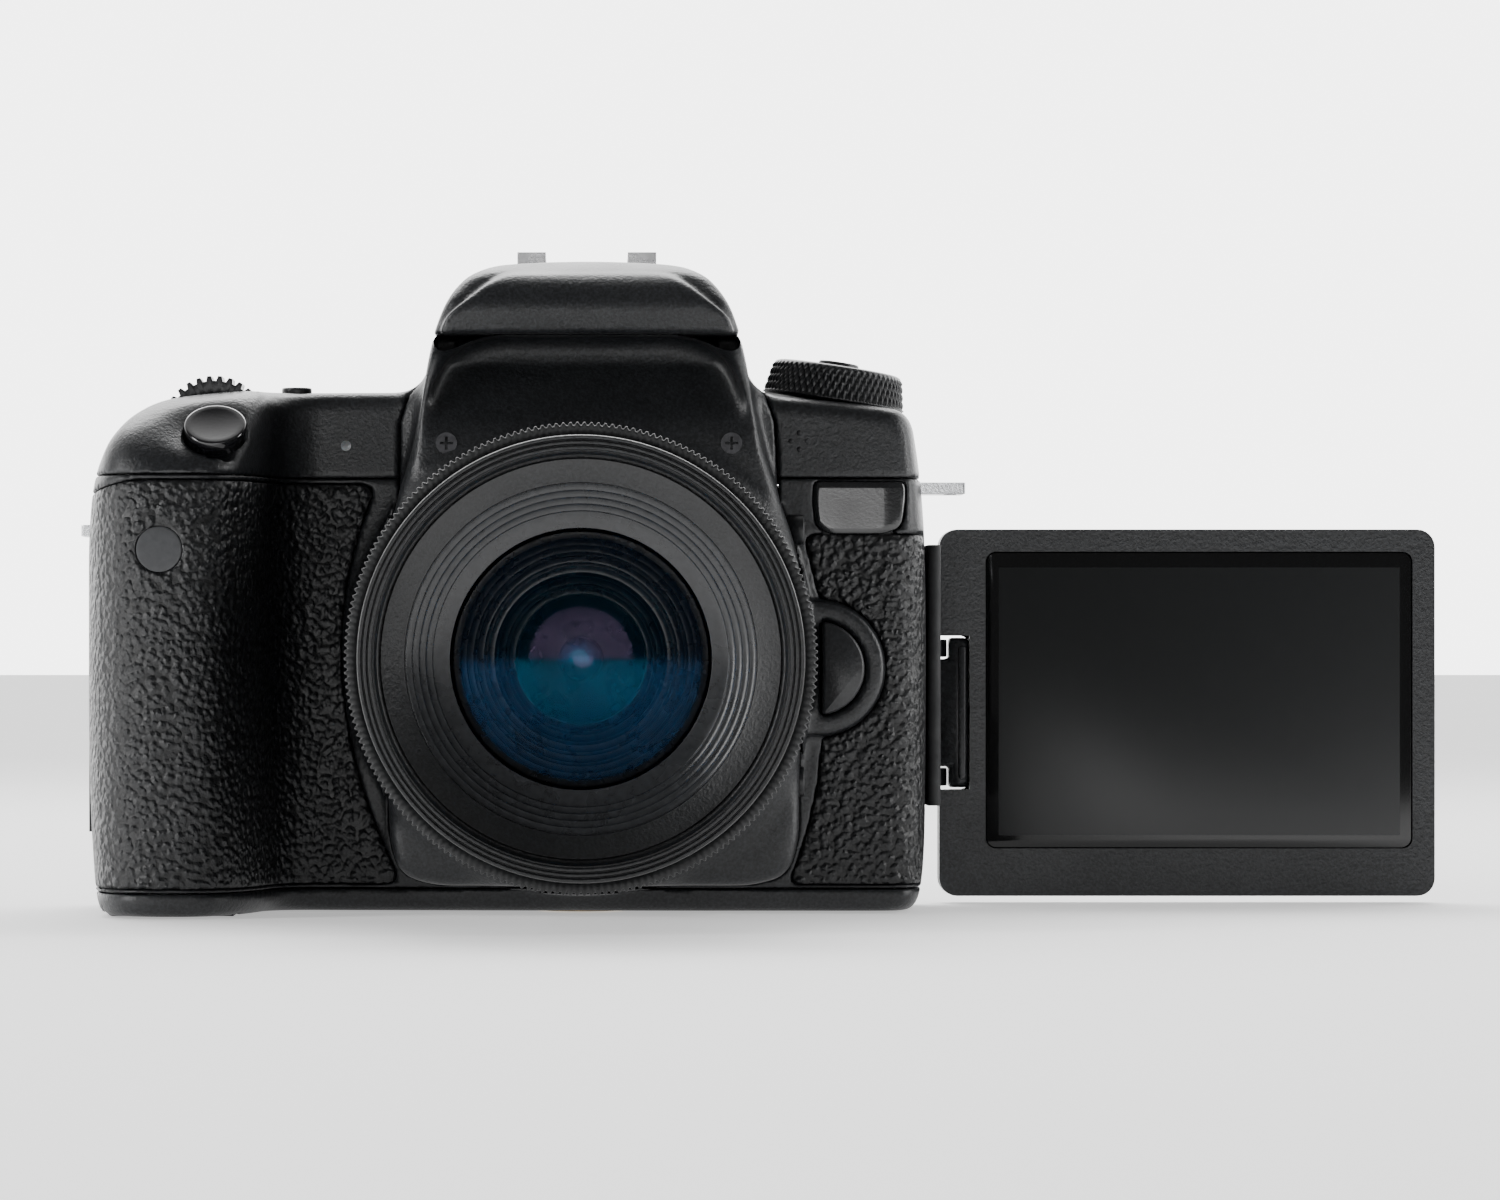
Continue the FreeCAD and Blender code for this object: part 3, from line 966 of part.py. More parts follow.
    # badge plate set into the front of the shoulder
    badge = [(BODY_RIGHT - 20.0, SEAM_TOP_Z - 8.6, 2.0), (BODY_RIGHT - 5.8, SEAM_TOP_Z - 8.6, 4.0),
             (BODY_RIGHT - 5.8, SEAM_TOP_Z - 0.5, 0.6), (BODY_RIGHT - 20.0, SEAM_TOP_Z - 0.5, 2.0)]
    badge_block = swept(badge, in_front_view, -FAR, SPLIT_Y - 10.0)
    SHAPES["badge_plate"] = skin.common(badge_block)
    shell = shell.cut(SHAPES["badge_plate"])

    SHAPES["lens_panel"] = lens_panel
    SHAPES["top_cover"] = shell.common(box(-FAR, FAR, -FAR, FAR, SEAM_TOP_Z, FAR))
    bottom = shell.common(box(-FAR, FAR, -FAR, FAR, -FAR, SEAM_BOTTOM_Z)).cut(bush)
    SHAPES["bottom_cover"] = bottom
    middle = shell.common(box(-FAR, FAR, -FAR, FAR, SEAM_BOTTOM_Z, SEAM_TOP_Z))
    SHAPES["front_cover"] = middle.common(box(-FAR, FAR, -FAR, SPLIT_Y, -FAR, FAR))
    rear = middle.common(box(-FAR, FAR, SPLIT_Y, FAR, -FAR, FAR))
    SHAPES["rear_cover"] = rear.fuse(knuckles(low, high))


def screw_blank():
    """Screw head with a cross slot in its face at z = 0."""
    long, wide, deep = CROSS
    head = rod((0, 0, 0), (0, 0, 1), SCREW_R, SCREW_HEIGHT)
    head = head.cut(box(-long / 2, long / 2, -wide / 2, wide / 2, -1.0, deep))
    return head.cut(box(-wide / 2, wide / 2, -long / 2, long / 2, -1.0, deep))


def make_shoe():
    """Hot shoe: sunken floor with two overhanging rails."""
    floor_z = HUMP_TOP_Z - SHOE_SINK
    top = floor_z + SHOE_SLOT_HEIGHT + SHOE_LIP
    half = SHOE_WIDTH / 2
    back = SHOE_FRONT_Y + SHOE_LENGTH
    block = box(HUMP_X - half, HUMP_X + half, SHOE_FRONT_Y, back, floor_z - SHOE_BASE, top)
    slot = box(HUMP_X - SHOE_SLOT_WIDTH / 2, HUMP_X + SHOE_SLOT_WIDTH / 2, SHOE_FRONT_Y + 1.6, back + 1.0,
               floor_z, floor_z + SHOE_SLOT_HEIGHT)
    mouth = SHOE_OPENING / 2
    gap = box(HUMP_X - mouth, HUMP_X + mouth, SHOE_FRONT_Y - 1.0, back + 1.0, floor_z, top + 1.0)
    return block.cut(slot).cut(gap)


def main():
    os.makedirs("parts", exist_ok=True)
    make_lens()
    make_inside()
    make_covers()
    for name, shape in SHAPES.items():
        solids = shape.removeSplitter().Solids
        whole = solids[0] if len(solids) == 1 else Part.makeCompound(solids)
        whole.exportStep("parts/" + name + ".step")


main()
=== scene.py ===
import json
import math

import bmesh
import bpy
import numpy as np
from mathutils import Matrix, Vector


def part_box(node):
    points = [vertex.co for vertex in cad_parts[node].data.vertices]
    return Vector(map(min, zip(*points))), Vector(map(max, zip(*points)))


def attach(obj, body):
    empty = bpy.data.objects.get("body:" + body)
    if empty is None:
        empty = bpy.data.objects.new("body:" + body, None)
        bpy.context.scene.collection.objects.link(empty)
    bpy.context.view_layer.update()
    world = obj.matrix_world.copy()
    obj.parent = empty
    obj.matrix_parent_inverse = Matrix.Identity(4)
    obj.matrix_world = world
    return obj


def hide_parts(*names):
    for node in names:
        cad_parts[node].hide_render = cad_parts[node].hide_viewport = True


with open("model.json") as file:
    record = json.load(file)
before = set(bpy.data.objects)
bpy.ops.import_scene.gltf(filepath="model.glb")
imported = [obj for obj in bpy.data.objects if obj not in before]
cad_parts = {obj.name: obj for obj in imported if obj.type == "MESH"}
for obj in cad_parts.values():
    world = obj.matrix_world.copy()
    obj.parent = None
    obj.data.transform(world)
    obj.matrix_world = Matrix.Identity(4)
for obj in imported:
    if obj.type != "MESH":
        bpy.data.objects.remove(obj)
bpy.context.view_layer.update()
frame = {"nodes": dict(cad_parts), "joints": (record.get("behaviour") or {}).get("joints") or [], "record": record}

MM = 0.001
JOINTS = {j["name"]: j for j in frame["joints"]}


# ---- places read from the frame, in millimetres -----------------------------------------------
def box_mm(node):
    low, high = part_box(node)
    return np.array(low) / MM, np.array(high) / MM


def half_width(node):
    low, high = box_mm(node)
    return (high[0] - low[0]) / 2


def node_points(node):
    return np.array([v.co for v in frame["nodes"][node].data.vertices]) / MM


def joint_point(name):
    return np.array(JOINTS[name]["pos_m"]) / MM


def joint_axis(name):
    axis = np.array(JOINTS[name]["axis"], float)
    return axis / np.linalg.norm(axis)


def round_end(node, direction):
    """Centre and radius of a round node's flat end that faces a direction."""
    points = node_points(node)
    direction = np.array(direction, float)
    direction = direction / np.linalg.norm(direction)
    along = points @ direction
    rim = points[along > along.max() - 0.05]
    centre = (rim.min(0) + rim.max(0)) / 2
    radius = np.linalg.norm(rim - centre, axis=1).max()
    return centre, radius


low, high = box_mm("front_cover")
GRIP_X, GRIP_Y, SEAM_BOTTOM = low
RIGHT_X = high[0]
SPLIT_Y = high[1]
low, high = box_mm("rear_cover")
SEAM_TOP = high[2]
BACK_Y = box_mm("bottom_cover")[1][1]
HUMP_TOP = box_mm("flash_head")[1][2]
low, high = box_mm("eyecup")
HUMP_X = (low[0] + high[0]) / 2
EYE_Z = (low[2] + high[2]) / 2
HUMP_BACK = low[1]
BROW_Z = box_mm("flash_lens")[0][2]
SHOULDER_Z = box_mm("status_display")[1][2]
PIVOT = joint_point("flash_lift")
LENS_AXIS = joint_point("lens_twist")
AXIS_Z = LENS_AXIS[2]
PANEL_LOW, PANEL_HIGH = box_mm("lens_panel")
MOUNT_R = half_width("lens_mount_ring")
SCREEN_LOW, SCREEN_HIGH = box_mm("screen_back")
SCREEN_FRONT = box_mm("screen_bezel")[0][1]
HINGE = joint_point("screen_swing")

CELL = 0.6
SKIN = 1.2
WALL = 2.2
SEAM = 0.09
GAP = 0.3


# ---- distance fields, in millimetres, negative inside ------------------------------------------
def smooth_max(a, b, k):
    h = np.maximum(k - np.abs(a - b), 0.0) / k
    return np.maximum(a, b) + h * h * k * 0.25


def smooth_min(a, b, k):
    return -smooth_max(-a, -b, k)


def convex(a, b, points, k):
    """Convex outline through counter-clockwise points, its corners softened by k."""
    out = None
    for (a0, b0), (a1, b1) in zip(points, points[1:] + points[:1]):
        length = math.hypot(a1 - a0, b1 - b0)
        side = ((a - a0) * (b1 - b0) - (b - b0) * (a1 - a0)) / length
        out = side if out is None else smooth_max(out, side, k)
    return out


def slab(a, low, high):
    return np.maximum(low - a, a - high)


def block(x, y, z, low, high, k=0.6):
    out = smooth_max(slab(x, low[0], high[0]), slab(y, low[1], high[1]), k)
    return smooth_max(out, slab(z, low[2], high[2]), k)


def rod_along(x, y, z, at, axis, radius, back, front, k=0.4):
    """Cylinder about an axis through a point, from back to front along it."""
    along = (x - at[0]) * axis[0] + (y - at[1]) * axis[1] + (z - at[2]) * axis[2]
    square = (x - at[0]) ** 2 + (y - at[1]) ** 2 + (z - at[2]) ** 2
    reach = np.sqrt(np.maximum(square - along * along, 0.0)) - radius
    return smooth_max(reach, slab(along, back, front), k)


def main_body(x, y, z):
    """Body with the grip's bulge, without the viewfinder hump."""
    plan = convex(x, y, [(GRIP_X, BACK_Y), (GRIP_X, -4.0), (-40.0, -9.0), (RIGHT_X - 1.0, -10.0),
                         (RIGHT_X, -2.0),
                         (RIGHT_X, BACK_Y)], 8.0)
    grip = convex(x, y, [(GRIP_X, 12.0), (GRIP_X, -19.5), (GRIP_X + 2.2, GRIP_Y + 7.6),
                         (GRIP_X + 6.2, GRIP_Y + 2.4),
                         (GRIP_X + 11.5, GRIP_Y), (GRIP_X + 18.0, GRIP_Y), (GRIP_X + 22.8, GRIP_Y + 2.4),
                         (GRIP_X + 26.0, GRIP_Y + 8.0), (GRIP_X + 31.0, -6.0), (GRIP_X + 31.0, 12.0)], 5.0)
    plan = smooth_min(plan, grip, 8.0)
    front = convex(x, z, [(GRIP_X + 2.6, 0.0), (RIGHT_X - 3.6, 0.0), (RIGHT_X - 1.4, 5.0),
                          (RIGHT_X - 0.2, 20.0),
                          (RIGHT_X, 38.0), (RIGHT_X - 0.5, 57.0), (RIGHT_X - 1.8, SEAM_TOP),
                          (RIGHT_X - 4.6, 76.2),
                          (RIGHT_X - 25.0, SHOULDER_Z + 0.3), (GRIP_X + 16.5, SHOULDER_Z + 0.1),
                          (GRIP_X + 9.0, SHOULDER_Z - 2.2), (GRIP_X + 3.2, SHOULDER_Z - 9.0),
                          (GRIP_X, SHOULDER_Z - 18.0), (GRIP_X, 16.0)], 3.0)
    side = convex(y, z, [(GRIP_Y, -30.0), (BACK_Y, -30.0), (BACK_Y, SHOULDER_Z - 3.0),
                         (BACK_Y - 4.0, SHOULDER_Z + 8.6),
                         (GRIP_Y + 25.3, SHOULDER_Z + 8.6), (GRIP_Y + 2.0, SEAM_TOP + 1.7),
                         (GRIP_Y, SEAM_TOP - 3.0)], 4.0)
    return smooth_max(smooth_max(plan, front, 3.0), side, 4.0)


def hump_across(x, z, half, k):
    right = [(HUMP_X + w, h) for w, h in half[::-1]]
    left = [(HUMP_X - w, h) for w, h in half]
    return convex(x, z, right + left, k)


def hump(x, y, z):
    """Viewfinder hump with the flash head closed; the head's face stands proud of its sides."""
    half = [(9.0, HUMP_TOP), (15.6, HUMP_TOP - 1.3), (20.6, HUMP_TOP - 5.6), (23.0, BROW_Z + 1.4),
            (24.8, BROW_Z - 6.0),
            (25.6, SEAM_TOP - 12.0)]
    face = [(11.6, HUMP_TOP - 2.6), (13.4, HUMP_TOP - 3.3), (21.3, BROW_Z + 2.4), (22.4, BROW_Z - 1.0),
            (23.2, BROW_Z - 8.0)]
    across = hump_across(x, z, half, 2.0)
    proud = hump_across(x, z, face, 1.0)
    upper = convex(y, z, [(-25.9, BROW_Z - 1.6), (HUMP_BACK, BROW_Z - 4.0), (HUMP_BACK, HUMP_TOP - 6.2),
                          (20.0, HUMP_TOP), (-15.0, HUMP_TOP), (-23.6, HUMP_TOP - 2.6),
                          (-26.9, BROW_Z + 4.6)], 1.2)
    front = convex(y, z, [(-28.6, BROW_Z - 1.0), (0.0, BROW_Z - 2.0), (0.0, HUMP_TOP - 2.0),
                          (-24.0, HUMP_TOP - 2.2),
                          (-27.6, HUMP_TOP - 4.2), (-29.5, BROW_Z + 4.4)], 1.0)
    lower = convex(y, z, [(-17.5, SEAM_TOP - 12.0), (HUMP_BACK, SEAM_TOP - 12.0), (HUMP_BACK, BROW_Z),
                          (-22.5, BROW_Z)], 2.0)
    main = smooth_max(across, smooth_min(upper, lower, 5.0), 2.0)
    return smooth_min(main, smooth_max(proud, front, 0.9), 0.5)


def panel_outline(x, z, grow=0.0):
    """Front view of the raised piece that carries the lens, up to the brow."""
    top = BROW_Z + 0.3
    points = [(PANEL_LOW[0] + 6.0, PANEL_LOW[2]), (PANEL_HIGH[0] - 6.0, PANEL_LOW[2]),
              (PANEL_HIGH[0] - 1.8, PANEL_LOW[2] + 1.8), (PANEL_HIGH[0], PANEL_LOW[2] + 6.0),
              (PANEL_HIGH[0], AXIS_Z + 18.0), (HUMP_X + 24.4, BROW_Z - 9.6), (HUMP_X + 23.0, BROW_Z - 5.4),
              (HUMP_X + 20.0, BROW_Z - 1.9), (HUMP_X + 15.6, top), (HUMP_X - 15.6, top),
              (HUMP_X - 20.0, BROW_Z - 1.9), (HUMP_X - 23.0, BROW_Z - 5.4), (HUMP_X - 24.4, BROW_Z - 9.6),
              (PANEL_LOW[0], AXIS_Z + 20.0), (PANEL_LOW[0], PANEL_LOW[2] + 6.0),
              (PANEL_LOW[0] + 1.8, PANEL_LOW[2] + 1.8)]
    return convex(x, z, points, 1.6) - grow


def outer_form(x, y, z):
    """The whole closed body."""
    out = smooth_min(main_body(x, y, z), hump(x, y, z), 5.0)
    boss = smooth_max(panel_outline(x, z), PANEL_LOW[1] - y, 3.2)
    boss = smooth_max(boss, y - 5.0, 1.0)
    out = smooth_min(out, boss, 1.8)
    reach = np.sqrt(x * x + (z - AXIS_Z) ** 2)
    collar = smooth_max(reach - (MOUNT_R + 4.2), (PANEL_LOW[1] - 1.8) - y, 2.0)
    collar = np.maximum(collar, y + 6.0)
    out = smooth_min(out, collar, 3.0)
    scoop_y = np.interp(z, [60.0, SEAM_TOP, 72.0, 78.0, 83.0, BROW_Z, 100.0],
                        [-26.0, -23.6, -21.4, -18.0, -15.6, -15.2, -15.2])
    scoop = smooth_max(panel_outline(x, z, -0.3), y - scoop_y, 3.0)
    scoop = np.maximum(scoop, SEAM_TOP - 6.0 - z)
    return smooth_max(out, -scoop, 1.6)


def flash_room(x, y, z, gap):
    """Room for the flash head and its arms, grown by a gap."""
    back_r = 15.4
    arm_x = 19.6
    arm_r = 7.2
    arm_front_r = 20.0
    from_pivot = np.sqrt((y - PIVOT[1]) ** 2 + (z - PIVOT[2]) ** 2)
    middle = np.maximum((BROW_Z - gap) - z, (back_r - gap) - from_pivot)
    middle = np.maximum(middle, y - PIVOT[1])
    arm = np.maximum((BROW_Z - 3.0 - gap) - z, y - PIVOT[1])
    arm = np.maximum(arm, from_pivot - (arm_front_r + gap))
    arm = np.minimum(arm, from_pivot - (arm_r + gap))
    arm = np.maximum(arm, (arm_x - gap) - np.abs(x - HUMP_X))
    return np.minimum(middle, arm)


def grid_values(field, low, high, cell):
    axes = [np.arange(a, b + cell, cell, dtype=np.float32) for a, b in zip(low, high)]
    x = axes[0][:, None, None]
    y = axes[1][None, :, None]
    z = axes[2][None, None, :]
    shape = tuple(len(a) for a in axes)
    return np.broadcast_to(field(x, y, z), shape).astype(np.float32)


def net_mesh(name, field, low, high):
    """Closed mesh of a field's zero surface: one vertex for each crossed cell, drawn onto the surface."""
    cell = CELL
    low = np.array(low, float) - 1.5 * cell
    high = np.array(high, float) + 1.5 * cell
    values = grid_values(field, low, high, cell)
    inside = values < 0.0
    corner = [(i, j, k) for i in (0, 1) for j in (0, 1) for k in (0, 1)]
    size = [n - 1 for n in values.shape]

    def shifted(array, offset):
        i, j, k = offset
        return array[i:i + size[0], j:j + size[1], k:k + size[2]]

    count = sum(shifted(inside, c).astype(np.int8) for c in corner)
    active = (count > 0) & (count < 8)
    cells = np.argwhere(active)
    number = np.full(active.shape, -1, np.int64)
    number[active] = np.arange(len(cells))
    total = np.zeros((len(cells), 3))
    hits = np.zeros(len(cells))
    for a in corner:
        for axis in range(3):
            if a[axis]:
                continue
            b = list(a)
            b[axis] = 1
            va = values[tuple((cells + a).T)]
            vb = values[tuple((cells + b).T)]
            cross = (va < 0) != (vb < 0)
            t = np.where(cross, va / np.where(cross, va - vb, 1.0), 0.0)
            point = np.array(a, float) + np.zeros((len(cells), 3))
            point[:, axis] += t
            total += point * cross[:, None]
            hits += cross
    points = low + (cells + total / hits[:, None]) * cell
    for _ in range(2):
        points = drawn_on(field, points, cell)
    faces = []
    turns = {0: ((0, -1, -1), (0, 0, -1), (0, 0, 0), (0, -1, 0)),
             1: ((-1, 0, -1), (-1, 0, 0), (0, 0, 0), (0, 0, -1)),
             2: ((-1, -1, 0), (0, -1, 0), (0, 0, 0), (-1, 0, 0))}
    for axis, ring in turns.items():
        a = inside[tuple(slice(0, -1) if n == axis else slice(1, -1) for n in range(3))]
        b = inside[tuple(slice(1, None) if n == axis else slice(1, -1) for n in range(3))]
        base = np.array([0 if n == axis else 1 for n in range(3)])
        edges = np.argwhere(a != b)
        outward = a[tuple(edges.T)]
        edges = edges + base
        quad = np.stack([number[tuple((edges + r).T)] for r in ring], axis=1)
        quad[~outward] = quad[~outward][:, ::-1]
        faces.append(quad)
    return mesh_object(name, points, np.concatenate(faces))


def drawn_on(field, points, cell):
    """Moves points onto the field's zero surface along its slope."""
    step = 0.06
    value = field(points[:, 0], points[:, 1], points[:, 2])
    slope = np.zeros_like(points)
    for axis in range(3):
        ahead = points.copy()
        behind = points.copy()
        ahead[:, axis] += step
        behind[:, axis] -= step
        slope[:, axis] = (field(*ahead.T) - field(*behind.T)) / (2 * step)
    square = np.maximum((slope ** 2).sum(1), 0.2)
    move = slope * (value / square)[:, None]
    length = np.linalg.norm(move, axis=1)
    move *= np.minimum(1.0, 0.45 * cell / np.maximum(length, 1e-9))[:, None]
    return points - move


def mesh_object(name, points, faces, smooth=True):
    """Object from points in millimetres and faces."""
    mesh = bpy.data.meshes.new(name)
    mesh.from_pydata((np.asarray(points) * MM).tolist(), [], [tuple(int(i) for i in face) for face in faces])
    mesh.validate()
    if smooth:
        mesh.polygons.foreach_set("use_smooth", [True] * len(mesh.polygons))
    mesh.update()
    piece = bpy.data.objects.new(name, mesh)
    bpy.context.scene.collection.objects.link(piece)
    return piece


def finish_piece(piece, body, slot, *nodes):
    """Material slot, body and the CAD nodes that a piece stands for."""
    piece.data.materials.clear()
    piece.data.materials.append(MATERIALS[slot])
    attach(piece, body)
    if nodes:
        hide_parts(*nodes)
    return piece


# ---- lathe and prism work -----------------------------------------------------------------------
def rounded_profile(points, steps=4):
    """(radius, height, corner radius) points to a (radius, height) list with arcs at its corners."""
    out = []
    for i, (r, h, corner) in enumerate(points):
        if corner <= 0 or i in (0, len(points) - 1):
            out.append((r, h))
            continue
        here = np.array([r, h], float)
        before = np.array(points[i - 1][:2], float) - here
        after = np.array(points[i + 1][:2], float) - here
        reach = min(corner, 0.45 * np.linalg.norm(before), 0.45 * np.linalg.norm(after))
        start = here + before / np.linalg.norm(before) * reach
        end = here + after / np.linalg.norm(after) * reach
        for t in np.linspace(0.0, 1.0, steps + 1):
            out.append(tuple((1 - t) ** 2 * start + 2 * t * (1 - t) * here + t * t * end))
    return out


def axis_frame(at, direction):
    """Matrix that takes +Z at the origin to a direction at a point."""
    turn = Vector((0, 0, 1)).rotation_difference(Vector(direction)).to_matrix()
    return np.array(turn), np.array(at, float)


def lathe(name, profile, at, direction, segments, ripple=None):
    """Solid turned from a (radius, height) profile; ripple(angle, height, radius) changes the radius."""
    turn, at = axis_frame(at, direction)
    angles = np.arange(segments) * 2 * math.pi / segments
    profile = [(max(r, 0.0), h) for r, h in profile]
    points = []
    for r, h in profile:
        radius = np.full(segments, r)
        if ripple is not None:
            radius = ripple(angles, h, radius)
        ring = np.stack([radius * np.cos(angles), radius * np.sin(angles), np.full(segments, h)], axis=1)
        points.append(ring)
    points = np.concatenate(points) @ turn.T + at
    faces = []
    for i in range(len(profile) - 1):
        for j in range(segments):
            n = (j + 1) % segments
            faces.append((i * segments + j, i * segments + n, (i + 1) * segments + n, (i + 1) * segments + j))
    piece = mesh_object(name, points, faces)
    weld(piece)
    return piece


def weld(piece):
    """Closes poles and coincident rings."""
    work = bmesh.new()
    work.from_mesh(piece.data)
    bmesh.ops.remove_doubles(work, verts=work.verts, dist=0.00001)
    bmesh.ops.recalc_face_normals(work, faces=work.faces)
    work.to_mesh(piece.data)
    work.free()
    piece.data.update()


def prism(name, outline, y0, y1, bevel):
    """Plate with an (x, z) outline between two depths, its edges bevelled."""
    count = len(outline)
    points = [(x, y0, z) for x, z in outline] + [(x, y1, z) for x, z in outline]
    faces = [tuple(range(count - 1, -1, -1)), tuple(range(count, 2 * count))]
    for i in range(count):
        n = (i + 1) % count
        faces.append((i, n, count + n, count + i))
    mesh = bpy.data.meshes.new(name)
    mesh.from_pydata([tuple(v * MM for v in p) for p in points], [], faces)
    piece = bpy.data.objects.new(name, mesh)
    bpy.context.scene.collection.objects.link(piece)
    weld(piece)
    soften(piece, bevel)
    return piece


def soften(piece, width):
    """Bevels a mesh's sharp edges and leaves the result in the mesh."""
    bevel = piece.modifiers.new("edges", "BEVEL")
    bevel.width = width * MM
    bevel.segments = 3
    bevel.limit_method = "ANGLE"
    bevel.angle_limit = math.radians(35.0)
    bevel.harden_normals = True
    graph = bpy.context.evaluated_depsgraph_get()
    mesh = bpy.data.meshes.new_from_object(piece.evaluated_get(graph))
    piece.modifiers.clear()
    piece.data = mesh
    mesh.polygons.foreach_set("use_smooth", [True] * len(mesh.polygons))
    mesh.update()


def rounded_rectangle(x0, x1, z0, z1, radius, steps=6):
    """Counter-clockwise rectangle outline with round corners."""
    out = []
    for cx, cz, start in ((x1 - radius, z0 + radius, -90), (x1 - radius, z1 - radius, 0),
                          (x0 + radius, z1 - radius, 90), (x0 + radius, z0 + radius, 180)):
        for k in range(steps + 1):
            angle = math.radians(start + 90.0 * k / steps)
            out.append((cx + radius * math.cos(angle), cz + radius * math.sin(angle)))
    return out


# ---- cuts and zones of the covers ---------------------------------------------------------------
SHUTTER_AXIS = -joint_axis("shutter_press")
SHUTTER_FACE, SHUTTER_R = round_end("shutter_button", SHUTTER_AXIS)
SHUTTER_SEAT = SHUTTER_FACE - SHUTTER_AXIS * 1.0
DIAL_AT = joint_point("main_dial_turn")
DIAL_LOW, DIAL_HIGH = box_mm("main_dial")
MODE_AXIS = joint_axis("mode_dial_turn")
MODE_AT = joint_point("mode_dial_turn")
MODE_TOP, MODE_TOP_R = round_end("mode_dial", MODE_AXIS)
MODE_R = MODE_TOP_R + 1.0
MODE_RISE = float((MODE_TOP - MODE_AT) @ MODE_AXIS)
CONTROL_LOW, CONTROL_HIGH = box_mm("control_dial")
CONTROL_X = (CONTROL_LOW[0] + CONTROL_HIGH[0]) / 2
CONTROL_Z = (CONTROL_LOW[2] + CONTROL_HIGH[2]) / 2
CONTROL_R = (CONTROL_HIGH[0] - CONTROL_LOW[0]) / 2
PAD_R = half_width("control_pad")
RELEASE_LOW, RELEASE_HIGH = box_mm("lens_release_button")
RELEASE_R = (RELEASE_HIGH[2] - RELEASE_LOW[2]) / 2
RELEASE_X = RELEASE_HIGH[0] - RELEASE_R
RELEASE_Z = (RELEASE_HIGH[2] + RELEASE_LOW[2]) / 2
REAR_BUTTONS = ("menu_button", "info_button", "live_view_button", "af_on_button", "playback_button")
SIDE_BUTTONS = ("flash_button", "preview_button")
DOORS = ("terminal_cover_front", "terminal_cover_rear", "card_door")
PLAY = 0.25
TO_BACK = np.array([0.0, 1.0, 0.0])
TO_RIGHT = np.array([1.0, 0.0, 0.0])
UP = np.array([0.0, 0.0, 1.0])
BUTTON_HOLE = (-3.2, 6.0)
RECESS_X = 2 * HINGE[0] - SCREEN_HIGH[0] - 0.8
RECESS_Y = SCREEN_FRONT - 0.6
RECESS_TOP = SCREEN_HIGH[2] + 0.6
FAR_RIGHT, FAR_BACK, FAR_UP = 99.0, 60.0, 120.0


def round_cuts():
    """(point, axis, radius, back, front) of each round hole in the covers."""
    found = [(SHUTTER_SEAT, SHUTTER_AXIS, SHUTTER_R + PLAY, -3.0, 9.0),
             (MODE_AT, MODE_AXIS, MODE_R + 0.35, 0.0, 20.0)]
    pushed = [(name, TO_BACK) for name in REAR_BUTTONS] + [(name, TO_RIGHT) for name in SIDE_BUTTONS]
    for name, direction in pushed + [("display_light_button", UP)]:
        centre, radius = round_end(name, direction)
        found.append((centre, direction, radius + PLAY) + BUTTON_HOLE)
    seat = np.array([CONTROL_X, CONTROL_LOW[1] - GAP, CONTROL_Z])
    return found + [(seat, TO_BACK, CONTROL_R + GAP, 0.0, 9.0), (seat, TO_BACK, PAD_R - 1.5, -8.0, 9.0)]


def box_cuts():
    """(low, high) of each block-shaped opening in the covers."""
    found = []
    for name in ("hot_shoe", "status_display"):
        low, high = box_mm(name)
        found.append((low - SEAM, (high[0] + SEAM, high[1] + SEAM, FAR_UP)))
    found.append(((HUMP_X - 10.0, HUMP_BACK - 4.2, EYE_Z - 7.0), (HUMP_X + 10.0, FAR_BACK, EYE_Z + 7.0)))
    for name in DOORS:
        low, high = box_mm(name)
        out_left, out_right = (0.0, 8.0) if low[0] > 0 else (8.0, 0.0)
        found.append(((low[0] - (out_left or GAP), low[1] - GAP, low[2] - GAP),
                      (high[0] + (out_right or GAP), high[1] + GAP, high[2] + GAP)))
    low, high = box_mm("battery_door")
    found.append(((low[0] - GAP, low[1] - GAP, -5.0), (high[0] + GAP, high[1] + GAP, high[2] + 5.0)))
    found.append(((RECESS_X, RECESS_Y, -9.0), (FAR_RIGHT, FAR_BACK, RECESS_TOP)))
    lugs = lug_boxes()
    for low, high in lugs:
        found.append((low - SEAM, high + SEAM))
    low, high = lugs[1]
    found.append(((low[0] - 9.0, low[1] - 2.6, low[2] - 2.6), (GRIP_X + 2.4, high[1] + 2.6, high[2] + 2.6)))
    return found


def pocket_floors():
    """(low, high) of the thin floors behind the screen's recess, the doors and the grip-side lug."""
    thick = 1.6
    corner = (RECESS_X - thick, RECESS_Y - thick, SEAM_BOTTOM)
    found = [(corner, (RIGHT_X, RECESS_Y, RECESS_TOP + thick)), (corner, (RECESS_X, BACK_Y, SEAM_TOP)),
             ((RECESS_X - thick, RECESS_Y - thick, RECESS_TOP), (RIGHT_X, BACK_Y, RECESS_TOP + thick))]
    for name in DOORS:
        low, high = box_mm(name)
        x0 = low[0] - GAP - thick if low[0] > 0 else high[0] + GAP
        found.append(((x0, low[1] - GAP - thick, low[2] - GAP - thick),
                      (x0 + thick, high[1] + GAP + thick, high[2] + GAP + thick)))
    low, high = lug_boxes()[1]
    found.append(((GRIP_X, low[1] - 2.6 - thick, low[2] - 2.6 - thick),
                  (GRIP_X + 2.4 + thick, high[1] + 2.6 + thick, high[2] + 2.6 + thick)))
    return found


def lug_boxes():
    """Low and high corners of the two strap lugs."""
    points = node_points("strap_lugs")
    return [(points[side].min(0), points[side].max(0)) for side in (points[:, 0] > 0, points[:, 0] < 0)]


ROUND_CUTS = round_cuts()
BOX_CUTS = box_cuts()
FLOORS = pocket_floors()


